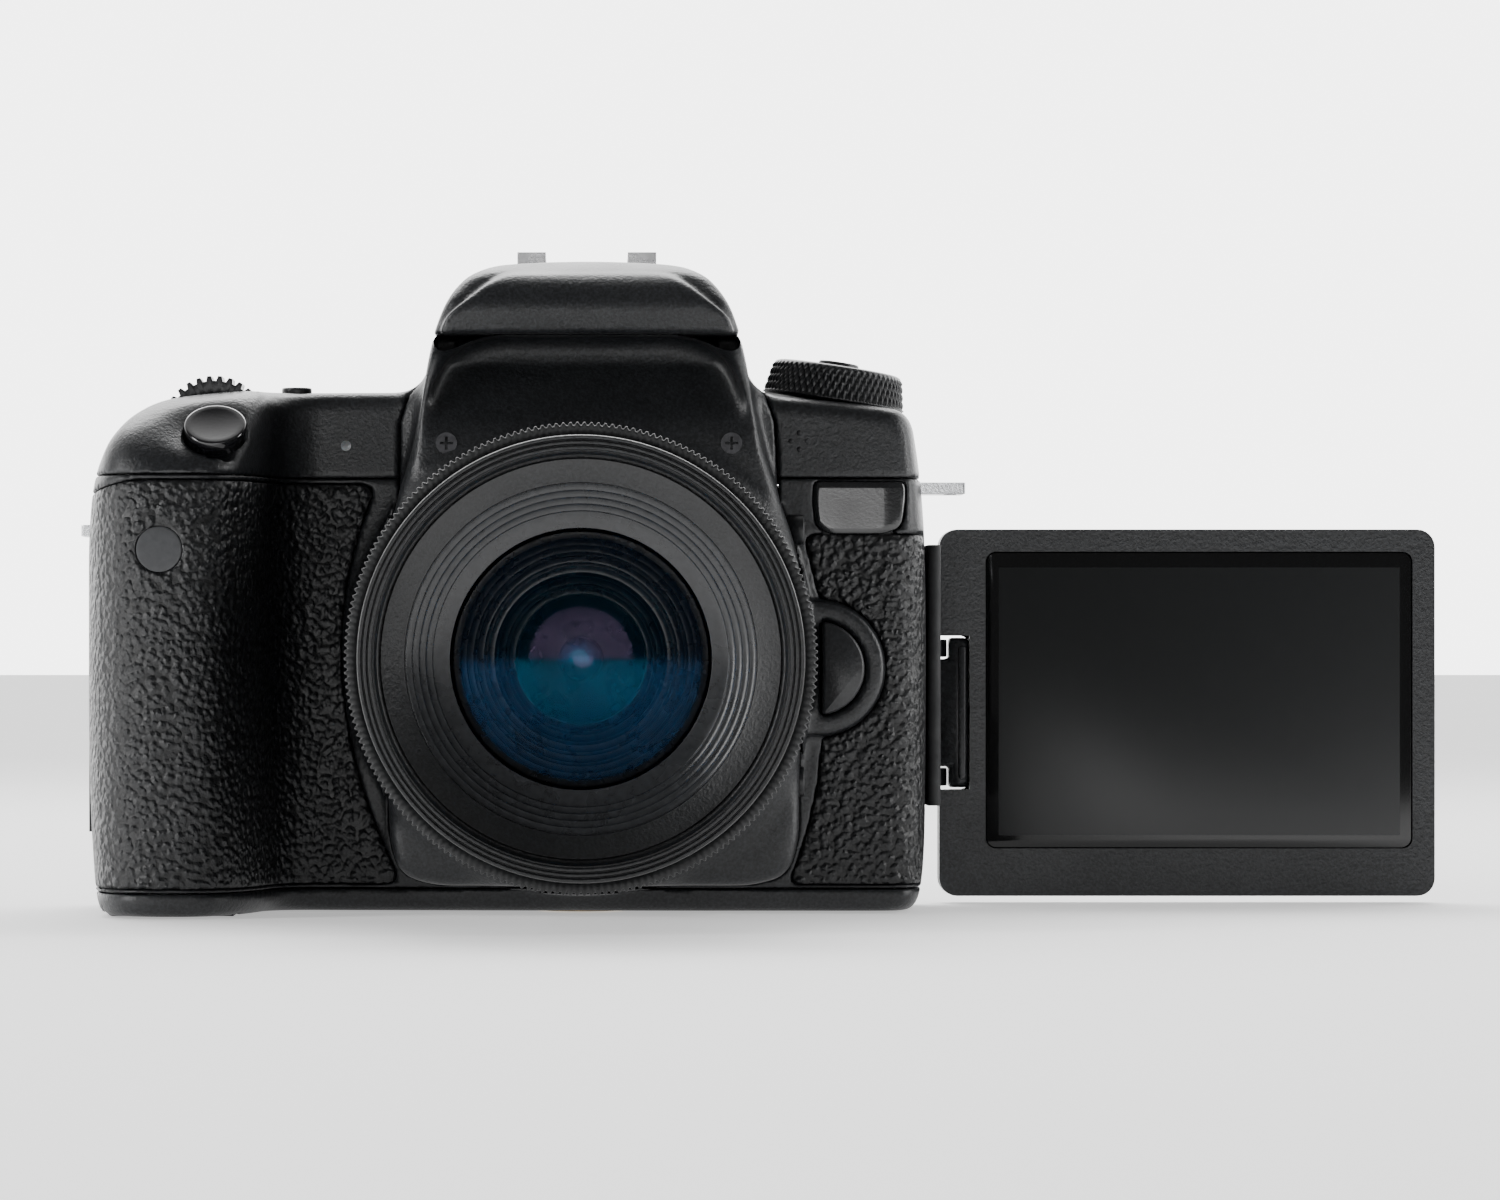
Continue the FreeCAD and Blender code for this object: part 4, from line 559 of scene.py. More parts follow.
def half_moon(x, y, z, radius, flat_x, y0, y1):
    disc = np.sqrt((x - RELEASE_X) ** 2 + (z - RELEASE_Z) ** 2) - radius
    out = smooth_max(disc, flat_x - x, 0.8)
    return smooth_max(out, slab(y, y0, y1), 0.8)


def dial_slot(x, y, z):
    """Slot in the top cover over the main dial."""
    slot = rod_along(x, y, z, np.array([DIAL_AT[0], DIAL_LOW[1] - GAP, DIAL_AT[2]]), TO_BACK,
                     (DIAL_HIGH[0] - DIAL_LOW[0]) / 2 + GAP, 0.0, DIAL_HIGH[1] - DIAL_LOW[1] + 2 * GAP)
    return np.maximum(slot, DIAL_AT[2] + 3.0 - z)


def within(low, high, box_low, box_high):
    """True when two boxes lie less than a millimetre apart."""
    margin = 1.0
    return all(a - margin < d and c < b + margin for a, b, c, d in zip(low, high, box_low, box_high))


def carved(x, y, z, out, low, high):
    """A cover's field with its openings taken out; only openings near its box are worked out."""
    for at, axis, radius, back, front in ROUND_CUTS:
        reach = radius + max(abs(back), front)
        if within(low, high, at - reach, at + reach):
            out = smooth_max(out, -rod_along(x, y, z, at, axis, radius, back, front), 0.35)
    for cut_low, cut_high in BOX_CUTS:
        if within(low, high, cut_low, cut_high):
            out = smooth_max(out, -block(x, y, z, cut_low, cut_high), 0.35)
    if within(low, high, DIAL_LOW, DIAL_HIGH):
        out = smooth_max(out, -dial_slot(x, y, z), 0.35)
    moon_low = (RELEASE_LOW[0] - 1.0, RELEASE_LOW[1] - 9.0, RELEASE_LOW[2] - 1.0)
    if within(low, high, moon_low, RELEASE_HIGH + 1.0):
        out = smooth_max(out, -half_moon(x, y, z, RELEASE_R + PLAY, RELEASE_LOW[0] - PLAY, -40.0, 1.0), 0.35)
    return out


def body_form(x, y, z):
    """Closed outer form with the dish round the shutter button and the release button's collar."""
    out = outer_form(x, y, z)
    dish_r = 17.0
    dish_deep = 1.5
    centre = SHUTTER_SEAT + SHUTTER_AXIS * (dish_r - dish_deep)
    dish = np.sqrt((x - centre[0]) ** 2 + (y - centre[1]) ** 2 + (z - centre[2]) ** 2) - dish_r
    out = smooth_max(out, -dish, 1.2)
    collar = half_moon(x, y, z, RELEASE_R + 3.0, RELEASE_LOW[0] - 4.0, RELEASE_LOW[1] + 1.7, 0.0)
    return smooth_min(out, collar, 1.2)


def grip_outline(x, y, z):
    """Region of the rubber on the grip."""
    bend = np.where(z > 40.0, 0.0088, 0.0073)
    edge_x = -36.5 + bend * (z - 40.0) ** 2
    out = smooth_max(x - edge_x, y - 6.0, 2.0)
    out = smooth_max(out, SEAM_BOTTOM + 0.7 - z, 3.0)
    top = SEAM_TOP - 0.9 - 0.09 * np.maximum(-66.0 - x, 0.0) ** 1.5
    out = smooth_max(out, z - top, 3.0)
    return np.maximum(out, -(panel_outline(x, z) - 0.4))


def side_outline(x, y, z):
    """Region of the rubber beside the lens release button."""
    edge_x = np.interp(z, [4.0, 7.0, 13.0, 19.5, 27.0, 48.0, 57.0],
                       [31.4, 32.6, 34.6, 36.0, 36.8, 36.2, 34.0])
    out = smooth_max(edge_x - x, y + 2.8, 1.5)
    out = smooth_max(out, SEAM_BOTTOM + 0.7 - z, 2.0)
    out = smooth_max(out, z - 57.4, 2.0)
    keep = np.sqrt((x - RELEASE_X) ** 2 + (z - RELEASE_Z) ** 2) - (RELEASE_R + 3.5)
    out = smooth_max(out, -keep, 0.8)
    return np.maximum(out, -(panel_outline(x, z) - 0.4))


def thumb_outline(x, y, z):
    """Region of the rubber under the thumb, on the back."""
    out = smooth_max(x + 28.9 + 0.10 * (56.0 - z), 11.0 - y, 2.0)
    out = smooth_max(out, 47.5 - z, 3.0)
    return smooth_max(out, z - (SEAM_TOP - 0.5), 2.0)


def badge_outline(x, y, z):
    """Region of the blank gloss plate on the shoulder's front."""
    low, high = box_mm("badge_plate")
    out = convex(x, z, [(low[0] + 2.2, low[2]), (high[0] - 3.0, low[2]), (high[0] - 0.8, low[2] + 1.0),
                        (high[0], low[2] + 3.4), (high[0], high[2]), (low[0] + 0.2, high[2]),
                        (low[0], low[2] + 3.0), (low[0] + 0.6, low[2] + 1.0)], 1.0)
    return smooth_max(out, y + 3.0, 0.5)


def skin_of(outline, x, y, z):
    """Skin of the outer form inside an outline."""
    form = body_form(x, y, z)
    return smooth_max(outline(x, y, z), np.maximum(form, -(form + SKIN)), 0.35)


RUBBER_OUTLINES = (grip_outline, side_outline, thumb_outline, badge_outline)


def shell_form(x, y, z, low, high):
    """Walls of the covers with room for the skins, the openings and the flash."""
    form = body_form(x, y, z)
    out = np.maximum(form, -(form + WALL))
    for outline in RUBBER_OUTLINES:
        room = np.maximum(outline(x, y, z) - SEAM, -(form + SKIN + 0.04))
        out = smooth_max(out, -room, 0.3)
    for floor_low, floor_high in FLOORS:
        if within(low, high, floor_low, floor_high):
            out = np.minimum(out, np.maximum(block(x, y, z, floor_low, floor_high), form))
    return carved(x, y, z, out, low, high)


def panel_zone(x, y, z):
    """Region of the lens panel; it takes the hump's front edges with it."""
    grow = np.interp(z, [AXIS_Z + 24.0, AXIS_Z + 36.0], [0.0, 3.4])
    return np.maximum(panel_outline(x, z) - grow, y + 7.2)


def lens_seat(x, y, z):
    """Room for the mount ring and the throat behind it."""
    reach = np.sqrt(x * x + (z - AXIS_Z) ** 2)
    seat = np.maximum(reach - (MOUNT_R + SEAM), y - box_mm("lens_mount_ring")[1][1])
    return np.minimum(seat, reach - (MOUNT_R - 4.0))


def make_cover(name, zone, low, high, flash=False):
    """One moulded cover, in place of its CAD node."""
    def field(x, y, z):
        out = smooth_max(shell_form(x, y, z, low, high), zone(x, y, z) + SEAM, 0.4)
        if flash:
            out = smooth_max(out, -flash_room(x, y, z, GAP), 0.4)
        return out

    finish_piece(net_mesh(name, field, low, high), "camera_body", "cover_plastic", name)


def surface_y(x, z):
    """Depth of the closed outer form at a place in the front view."""
    spots = np.linspace(-45.0, 20.0, 650)
    values = body_form(np.full(spots.shape, float(x)), spots, np.full(spots.shape, float(z)))
    return float(spots[np.argmax(values < 0)])


def surface_spot(x, z):
    """Point of the closed outer form at a place in the front view, and its outward direction."""
    y = surface_y(x, z)
    step = 0.3
    here = np.array([x, y, z])
    slope = np.zeros(3)
    for axis in range(3):
        ends = []
        for sign in (1, -1):
            spot = here.copy()
            spot[axis] += sign * step
            ends.append(float(body_form(*[np.array([v]) for v in spot])[0]))
        slope[axis] = ends[0] - ends[1]
    return here, slope / np.linalg.norm(slope)


def window_groups():
    """Corner points of the two front windows: the remote's and the lamp's."""
    points = node_points("front_windows")
    return points[points[:, 0] < -50.0], points[points[:, 0] > -50.0]


def window_spot():
    """(point, outward direction, radius) of the remote window's pocket."""
    group = window_groups()[0]
    centre = (group.min(0) + group.max(0)) / 2
    at, facing = surface_spot(centre[0], centre[2])
    return at, facing, (group[:, 2].max() - group[:, 2].min()) / 2 + 0.15


def make_covers():
    """The moulded covers, the lens panel and the rubber skins."""
    root = "camera_body"
    ROUND_CUTS.append(window_spot() + (-0.9, 6.0))
    edge = 2.0
    back = BACK_Y + 0.5
    bush_r = 6.5
    make_cover("top_cover",
               lambda x, y, z: np.maximum(SEAM_TOP - z, -(panel_zone(x, y, z) - 0.02)),
               (GRIP_X, GRIP_Y, SEAM_TOP), (RIGHT_X, HUMP_BACK, HUMP_TOP), flash=True)
    make_cover("front_cover",
               lambda x, y, z: np.maximum(np.maximum(slab(z, SEAM_BOTTOM, SEAM_TOP), y - SPLIT_Y),
                                          -(panel_zone(x, y, z) - 0.02)),
               (GRIP_X, GRIP_Y, SEAM_BOTTOM), (RIGHT_X, SPLIT_Y, SEAM_TOP))
    make_cover("rear_cover",
               lambda x, y, z: np.maximum(slab(z, SEAM_BOTTOM, SEAM_TOP), SPLIT_Y - y),
               (GRIP_X, SPLIT_Y, SEAM_BOTTOM), (RIGHT_X, back, SEAM_TOP))
    make_cover("bottom_cover",
               lambda x, y, z: np.maximum(np.maximum(z - SEAM_BOTTOM, -z - SEAM),
                                          -(np.sqrt(x * x + y * y) - (bush_r + SEAM))),
               (GRIP_X, GRIP_Y, 0.0), (RIGHT_X, back, SEAM_BOTTOM))
    panel_low = (PANEL_LOW[0] - edge, PANEL_LOW[1] - edge, PANEL_LOW[2] - 1.0)
    panel_high = (PANEL_HIGH[0] + edge, PANEL_HIGH[1] + 3.0, BROW_Z + 1.0)

    def panel_field(x, y, z):
        out = shell_form(x, y, z, panel_low, panel_high)
        out = smooth_max(out, panel_zone(x, y, z) + SEAM, 0.4)
        out = smooth_max(out, PANEL_LOW[2] - z, 0.4)
        return smooth_max(out, -lens_seat(x, y, z), 0.4)

    finish_piece(net_mesh("lens_panel", panel_field, panel_low, panel_high), root, "cover_plastic",
                 "lens_panel")
    skins = {
        "grip_rubber": (grip_outline, "grip_leather", (GRIP_X, GRIP_Y, SEAM_BOTTOM), (-26.0, 7.0, SEAM_TOP),
                        ["grip_rubber"]),
        "side_rubber": (side_outline, "grip_leather", (30.0, -16.0, SEAM_BOTTOM), (RIGHT_X, -2.0, 59.0),
                        ["rubber_pads"]),
        "thumb_rubber": (thumb_outline, "grip_leather", (GRIP_X, 10.0, 46.0), (-26.0, BACK_Y, SEAM_TOP), []),
        "badge_plate": (badge_outline, "badge_gloss", (34.0, -11.0, 56.0), (52.0, -2.0, SEAM_TOP),
                        ["badge_plate"]),
    }
    for name, (outline, slot, low, high, nodes) in skins.items():
        def field(x, y, z, outline=outline, low=low, high=high):
            return carved(x, y, z, skin_of(outline, x, y, z), low, high)
        finish_piece(net_mesh(name, field, low, high), root, slot, *nodes)

    def flash_field(x, y, z):
        form = hump(x, y, z)
        out = np.maximum(form, -(form + WALL + 0.4))
        out = np.minimum(out, smooth_max(form, z - (BROW_Z + 1.6), 0.3))
        out = smooth_max(out, flash_room(x, y, z, 0.0), 0.5)
        low, high = box_mm("flash_lens")
        return smooth_max(out, -block(x, y, z, low - SEAM - np.array([0, 0, 9.0]), high + SEAM), 0.3)

    low, high = box_mm("flash_head")
    finish_piece(net_mesh("flash_head", flash_field, low, high), "flash", "cover_plastic", "flash_head")
    low, high = box_mm("flash_lens")
    outline = rounded_rectangle(low[0] + 0.1, high[0] - 0.1, low[2] + 0.9, high[2], 0.2, 2)
    piece = prism("flash_lens", outline, low[1] + 0.1, high[1] - 0.1, 0.15)
    finish_piece(piece, "flash", "lamp_clear", "flash_lens")


# ---- materials ------------------------------------------------------------------------------------
class Finish:
    """Small helper that builds one procedural material."""

    def __init__(self, name, roughness=0.5, metallic=0.0, specular=0.5):
        self.material = bpy.data.materials.new(name)
        self.material.use_nodes = True
        self.tree = self.material.node_tree
        self.shader = self.tree.nodes["Principled BSDF"]
        self.shader.inputs["Roughness"].default_value = roughness
        self.shader.inputs["Metallic"].default_value = metallic
        self.shader.inputs["Specular IOR Level"].default_value = specular
        self.place = self.add("ShaderNodeTexCoord").outputs["Object"]
        self.height = None

    def add(self, kind, **values):
        node = self.tree.nodes.new(kind)
        for key, value in values.items():
            setattr(node, key, value)
        return node

    def link(self, a, b):
        self.tree.links.new(a, b)

    def noise(self, scale, detail):
        node = self.add("ShaderNodeTexNoise")
        node.inputs["Scale"].default_value = scale
        node.inputs["Detail"].default_value = detail
        node.inputs["Roughness"].default_value = 0.55
        self.link(self.place, node.inputs["Vector"])
        return node.outputs["Fac"]

    def cells(self, scale, place):
        """Distance to the nearest cell centre, softened."""
        node = self.add("ShaderNodeTexVoronoi", feature="SMOOTH_F1")
        node.inputs["Scale"].default_value = scale
        self.link(place, node.inputs["Vector"])
        return node.outputs["Distance"]

    def warped(self, scale, amount):
        """Place moved about by noise, for cells with crooked edges."""
        node = self.add("ShaderNodeTexNoise")
        node.inputs["Scale"].default_value = scale
        node.inputs["Detail"].default_value = 2.0
        self.link(self.place, node.inputs["Vector"])
        centred = self.add("ShaderNodeVectorMath", operation="SUBTRACT")
        self.link(node.outputs["Color"], centred.inputs[0])
        centred.inputs[1].default_value = (0.5, 0.5, 0.5)
        moved = self.add("ShaderNodeVectorMath", operation="MULTIPLY_ADD")
        self.link(centred.outputs["Vector"], moved.inputs[0])
        moved.inputs[1].default_value = (amount,) * 3
        self.link(self.place, moved.inputs[2])
        return moved.outputs["Vector"]

    def ranged(self, value, low, high, to_low=0.0, to_high=1.0):
        node = self.add("ShaderNodeMapRange")
        self.link(value, node.inputs["Value"])
        for name, number in (("From Min", low), ("From Max", high), ("To Min", to_low), ("To Max", to_high)):
            node.inputs[name].default_value = number
        return node.outputs["Result"]

    def colour(self, value, stops, socket="Base Color"):
        node = self.add("ShaderNodeValToRGB")
        self.link(value, node.inputs["Fac"])
        ramp = node.color_ramp
        while len(ramp.elements) < len(stops):
            ramp.elements.new(0.5)
        for element, (at, shade) in zip(ramp.elements, stops):
            element.position = at
            element.color = (*shade, 1.0)
        if socket:
            self.link(node.outputs["Color"], self.shader.inputs[socket])
        return node.outputs["Color"]

    def bump(self, value, distance, strength=1.0):
        node = self.add("ShaderNodeBump")
        node.inputs["Distance"].default_value = distance
        node.inputs["Strength"].default_value = strength
        self.link(value, node.inputs["Height"])
        if self.height is not None:
            self.link(self.height, node.inputs["Normal"])
        self.height = node.outputs["Normal"]
        self.link(self.height, self.shader.inputs["Normal"])

    def rough(self, value, low, high):
        self.link(self.ranged(value, 0.3, 0.7, low, high), self.shader.inputs["Roughness"])


def speckled(name, dark, light, low, high, grain=0.00007, scale=2300.0, specular=0.5):
    """Moulded plastic with a fine sparkle."""
    f = Finish(name, specular=specular)
    fine = f.noise(scale, 2.0)
    f.colour(fine, [(0.38, dark), (0.68, light)])
    f.bump(fine, grain, 1.0)
    f.bump(f.noise(scale * 0.45, 2.0), grain * 1.4, 0.6)
    f.rough(f.noise(70.0, 3.0), low, high)
    return f.material


def leather(name):
    """Rubber skin with a fine crinkled grain; its colour carries painted shade, darker in the creases between
    pebbles.
    """
    f = Finish(name, specular=0.5)
    place = f.warped(900.0, 0.0007)
    pebble_and_crease_shade = f.ranged(f.cells(1050.0, place), 0.05, 0.62, 1.0, 0.0)
    # painted shade: the colour darkens towards the cell edges, in the creases between the pebbles
    f.colour(pebble_and_crease_shade, [(0.0, (0.0022, 0.0024, 0.0028)), (0.6, (0.0085, 0.0093, 0.0105))])
    f.bump(pebble_and_crease_shade, 0.00042, 1.0)
    f.bump(f.noise(2100.0, 3.0), 0.00010, 0.8)
    f.rough(f.noise(500.0, 2.0), 0.33, 0.46)
    return f.material


def satin(name, dark, light, low, high, scale=900.0, grain=0.00002, metallic=0.0, coat=0.0, specular=0.5):
    f = Finish(name, metallic=metallic, specular=specular)
    wear = f.noise(scale, 4.0)
    f.colour(wear, [(0.3, dark), (0.7, light)])
    f.bump(f.noise(scale * 2.5, 2.0), grain, 0.5)
    f.rough(f.noise(scale * 0.2, 3.0), low, high)
    if coat:
        f.shader.inputs["Coat Weight"].default_value = coat
        f.shader.inputs["Coat Roughness"].default_value = 0.04
    return f.material


def coated_glass(name, tint, amount, rough, clear=0.9):
    """Clear glass with a coloured surface coating."""
    f = Finish(name)
    nodes = f.tree.nodes
    out = nodes["Material Output"]
    through = f.add("ShaderNodeBsdfTransparent")
    through.inputs["Color"].default_value = (clear, clear, clear, 1.0)
    gloss = f.add("ShaderNodeBsdfGlossy")
    gloss.inputs["Roughness"].default_value = rough
    smear = f.noise(55.0, 2.0)
    f.colour(smear, [(0.3, tint), (0.75, tuple(c * 0.55 for c in tint))], socket=None)
    ramp = [n for n in nodes if n.type == "VALTORGB"][-1]
    f.link(ramp.outputs["Color"], gloss.inputs["Color"])
    facing = f.add("ShaderNodeFresnel")
    facing.inputs["IOR"].default_value = amount
    mix = f.add("ShaderNodeMixShader")
    f.link(facing.outputs["Fac"], mix.inputs["Fac"])
    f.link(through.outputs["BSDF"], mix.inputs[1])
    f.link(gloss.outputs["BSDF"], mix.inputs[2])
    f.link(mix.outputs["Shader"], out.inputs["Surface"])
    nodes.remove(f.shader)
    return f.material


def display(name):
    """Gloss glass with the panel's active area faintly lighter than its border."""
    f = Finish(name, roughness=0.1)
    low, high = box_mm("screen_display")
    split = f.add("ShaderNodeSeparateXYZ")
    f.link(f.place, split.inputs["Vector"])
    edge = 0.00008
    masks = []
    for axis, a, b in (("X", low[0] + 2.0, high[0] - 1.9), ("Z", low[2] + 2.0, high[2] - 2.4)):
        masks.append(f.ranged(split.outputs[axis], a * MM - edge, a * MM + edge))
        masks.append(f.ranged(split.outputs[axis], b * MM + edge, b * MM - edge))
    area = masks[0]
    for mask in masks[1:]:
        node = f.add("ShaderNodeMath", operation="MULTIPLY")
        f.link(area, node.inputs[0])
        f.link(mask, node.inputs[1])
        area = node.outputs["Value"]
    f.colour(area, [(0.0, (0.0015, 0.0016, 0.0018)), (1.0, (0.006, 0.0066, 0.0072))])
    f.link(f.ranged(area, 0.0, 1.0, 0.12, 0.34), f.shader.inputs["Roughness"])
    f.bump(f.noise(40.0, 1.0), 0.00001, 0.2)
    return f.material


def milky(name, shade):
    f = Finish(name, roughness=0.25)
    f.colour(f.noise(600.0, 3.0), [(0.3, tuple(c * 0.75 for c in shade)), (0.7, shade)])
    f.shader.inputs["Subsurface Weight"].default_value = 0.3
    f.shader.inputs["Subsurface Scale"].default_value = 0.001
    f.shader.inputs["Coat Weight"].default_value = 0.6
    return f.material


DARK = (0.0045, 0.005, 0.0058)
LIGHT = (0.017, 0.0185, 0.021)
MATERIALS = {
    "cover_plastic": speckled("cover_plastic", DARK, LIGHT, 0.34, 0.44),
    "grip_leather": leather("grip_leather"),
    "soft_rubber": satin("soft_rubber", (0.006, 0.006, 0.007), (0.013, 0.014, 0.015), 0.6, 0.75),
    "button_plastic": speckled("button_plastic", (0.006, 0.0065, 0.0075), (0.014, 0.015, 0.017), 0.3, 0.42,
                               0.00003),
    "gloss_black": satin("gloss_black", (0.004, 0.004, 0.005), (0.006, 0.006, 0.007), 0.05, 0.12, coat=0.6),
    "lens_plastic": speckled("lens_plastic", (0.006, 0.0065, 0.0072), (0.015, 0.016, 0.018), 0.36, 0.46,
                             0.00003),
    "ring_rubber": satin("ring_rubber", (0.005, 0.0052, 0.006), (0.012, 0.013, 0.014), 0.42, 0.55),
    "steel": satin("steel", (0.42, 0.42, 0.43), (0.55, 0.55, 0.56), 0.22, 0.34, metallic=1.0),
    "chrome_plate": satin("chrome_plate", (0.62, 0.63, 0.65), (0.74, 0.75, 0.77), 0.12, 0.22, metallic=1.0),
    "screw_black": satin("screw_black", (0.03, 0.03, 0.032), (0.06, 0.06, 0.065), 0.3, 0.4, metallic=0.7),
    "brass_bush": satin("brass_bush", (0.35, 0.26, 0.13), (0.5, 0.38, 0.2), 0.3, 0.45, metallic=1.0),
    "optical_glass": coated_glass("optical_glass", (0.06, 0.38, 1.0), 1.38, 0.12),
    "mirror_glass": satin("mirror_glass", (0.7, 0.72, 0.74), (0.8, 0.82, 0.84), 0.02, 0.05, metallic=1.0),
    "frame_metal": satin("frame_metal", (0.12, 0.12, 0.125), (0.2, 0.2, 0.205), 0.4, 0.55, metallic=0.8),
    "board_green": satin("board_green", (0.005, 0.04, 0.015), (0.01, 0.07, 0.025), 0.35, 0.5),
    "battery_case": satin("battery_case", (0.012, 0.012, 0.013), (0.022, 0.022, 0.024), 0.4, 0.5),
    "display_glass": display("display_glass"),
    "lens_dark": speckled("lens_dark", (0.003, 0.0033, 0.0038), (0.0105, 0.0115, 0.013), 0.36, 0.46),
    "lamp_window": satin("lamp_window", (0.030, 0.031, 0.034), (0.045, 0.047, 0.05), 0.38, 0.46),
    "lamp_clear": milky("lamp_clear", (0.16, 0.17, 0.18)),
    "badge_gloss": satin("badge_gloss", (0.006, 0.0065, 0.007), (0.01, 0.011, 0.012), 0.1, 0.2, coat=0.4),
    "status_glass": satin("status_glass", (0.035, 0.042, 0.04), (0.05, 0.058, 0.055), 0.05, 0.12, coat=0.5),
}
PRINT = satin("print_white", (0.55, 0.56, 0.58), (0.68, 0.69, 0.71), 0.45, 0.55)
BAFFLE = satin("baffle_black", (0.010, 0.0108, 0.012), (0.022, 0.0235, 0.026), 0.22, 0.34)
INNER_GLASS = coated_glass("inner_glass", (0.04, 0.62, 0.85), 1.42, 0.05, 0.9)
DEEP_GLASS = coated_glass("deep_glass", (0.75, 0.5, 0.95), 1.55, 0.03, 0.7)
EYE_GLASS = satin("eye_glass", (0.003, 0.0035, 0.006), (0.006, 0.007, 0.011), 0.04, 0.08, coat=0.8)


def dress_frame():
    """Finish of each CAD node, by its slot in the record."""
    slots = {part["node"]: part["material_slot"] for part in frame["record"]["subparts"]}
    for name, node in frame["nodes"].items():
        if name not in slots:
            continue
        node.data.materials.clear()
        node.data.materials.append(MATERIALS[slots[name]])
    frame["nodes"]["viewfinder_optics"].data.materials[0] = EYE_GLASS


def edge_break(name, width, segments=2):
    """Rounds a CAD node's sharp edges with a modifier."""
    node = frame["nodes"][name]
    merge = node.modifiers.new("join", "WELD")
    merge.merge_threshold = 0.000002
    bevel = node.modifiers.new("edges", "BEVEL")
    bevel.width = width * MM
    bevel.segments = segments
    bevel.limit_method = "ANGLE"
    bevel.angle_limit = math.radians(40.0)


# ---- lens ------------------------------------------------------------------------------------------
LENS_AT = np.array([0.0, LENS_AXIS[1], AXIS_Z])
FORWARD = np.array([0.0, -1.0, 0.0])


def along_lens(node):
    """Start and end of a lens node ahead of the flange, and its radius."""
    low, high = box_mm(node)
    return LENS_AXIS[1] - high[1], LENS_AXIS[1] - low[1], (high[0] - low[0]) / 2


def ribs(count, depth, start, end, floor, duty=0.55):
    """Ripple for a ribbed ring: flat-topped ribs between two heights."""
    def ripple(angles, h, radius):
        if not (start - 1e-6 <= h <= end + 1e-6) or radius[0] < floor:
            return radius
        wave = 0.5 + 0.5 * np.cos(angles * count)
        top = np.clip((wave - (1 - duty)) / 0.35 + 0.5, 0.0, 1.0)
        return radius - depth * (1.0 - top)
    return ripple


def ring_profile(start, end, outer, inner, corner=0.35, rows=()):
    """Closed profile of a plain ring with softened outer corners and extra rows on its face."""
    points = [(inner, start, 0.0), (outer, start, corner)]
    points += [(outer, row, 0.0) for row in rows]
    points += [(outer, end, corner), (inner, end, 0.0), (inner, start, 0.0)]
    return rounded_profile(points)


def make_lens():
    detail = 6
    _, barrel_end, _ = along_lens("lens_barrel")
    zoom_start, zoom_end, zoom_r = along_lens("zoom_ring")
    focus_start, focus_end, focus_r = along_lens("focus_ring")
    front_start, front, front_r = along_lens("front_group")
    core = zoom_r - 2.3
    rear_r = zoom_r - 0.4
    band_r = zoom_r - 0.8
    barrel = rounded_profile([
        (core - 2.0, 1.6, 0.0), (core - 9.6, 1.6, 0.0), (core - 9.6, 0.0, 0.0), (rear_r, 0.0, 0.6),
        (rear_r, 2.4, 0.0), (rear_r - 0.25, 2.5, 0.0), (rear_r - 0.25, 2.9, 0.0), (rear_r, 3.0, 0.0),
        (rear_r, zoom_start - 0.4, 0.4), (core, zoom_start - 0.4, 0.0), (core, zoom_end + 0.35, 0.0),
        (band_r, zoom_end + 0.35, 0.4), (band_r, zoom_end + 5.0, 0.0), (band_r - 0.2, zoom_end + 5.1, 0.0),
        (band_r - 0.2, zoom_end + 5.5, 0.0), (band_r, zoom_end + 5.6, 0.0), (band_r, focus_start - 0.4, 0.4),
        (core, focus_start - 0.4, 0.0), (core, barrel_end, 0.0), (core - 2.0, barrel_end, 0.0),
        (core - 2.0, 1.6, 0.0)])
    finish_piece(lathe("lens_barrel", barrel, LENS_AT, FORWARD, 192), "lens", "lens_plastic")
    spigot = ring_profile(-2.9, 0.0, 24.9, 21.2, 0.2)
    piece = lathe("lens_bayonet", spigot, LENS_AT, FORWARD, 96)
    finish_piece(piece, "lens", "steel", "lens_barrel")
    rows = [zoom_start + 1.6, zoom_start + 2.0, zoom_end - 3.6, zoom_end - 3.2]
    zoom = ring_profile(zoom_start, zoom_end, zoom_r, core + 0.1, 0.4, rows)
    ripple = ribs(88, 0.55, rows[1] - 0.01, rows[2] + 0.01, zoom_r - 0.2)
    piece = lathe("zoom_ring", zoom, LENS_AT, FORWARD, 88 * (2 * detail), ripple)
    finish_piece(piece, "zoom", "ring_rubber", "zoom_ring")
    focus = ring_profile(focus_start, focus_end, focus_r, core + 0.1, 0.5,
                         [focus_start + 0.9, focus_end - 0.9])
    ripple = ribs(210, 0.42, focus_start - 0.1, focus_end + 0.1, focus_r - 0.75, 0.5)
    piece = lathe("focus_ring", focus, LENS_AT, FORWARD, 210 * (detail + 2), ripple)
    finish_piece(piece, "focus", "ring_rubber", "focus_ring")
    make_front_group(front_start, front, front_r)


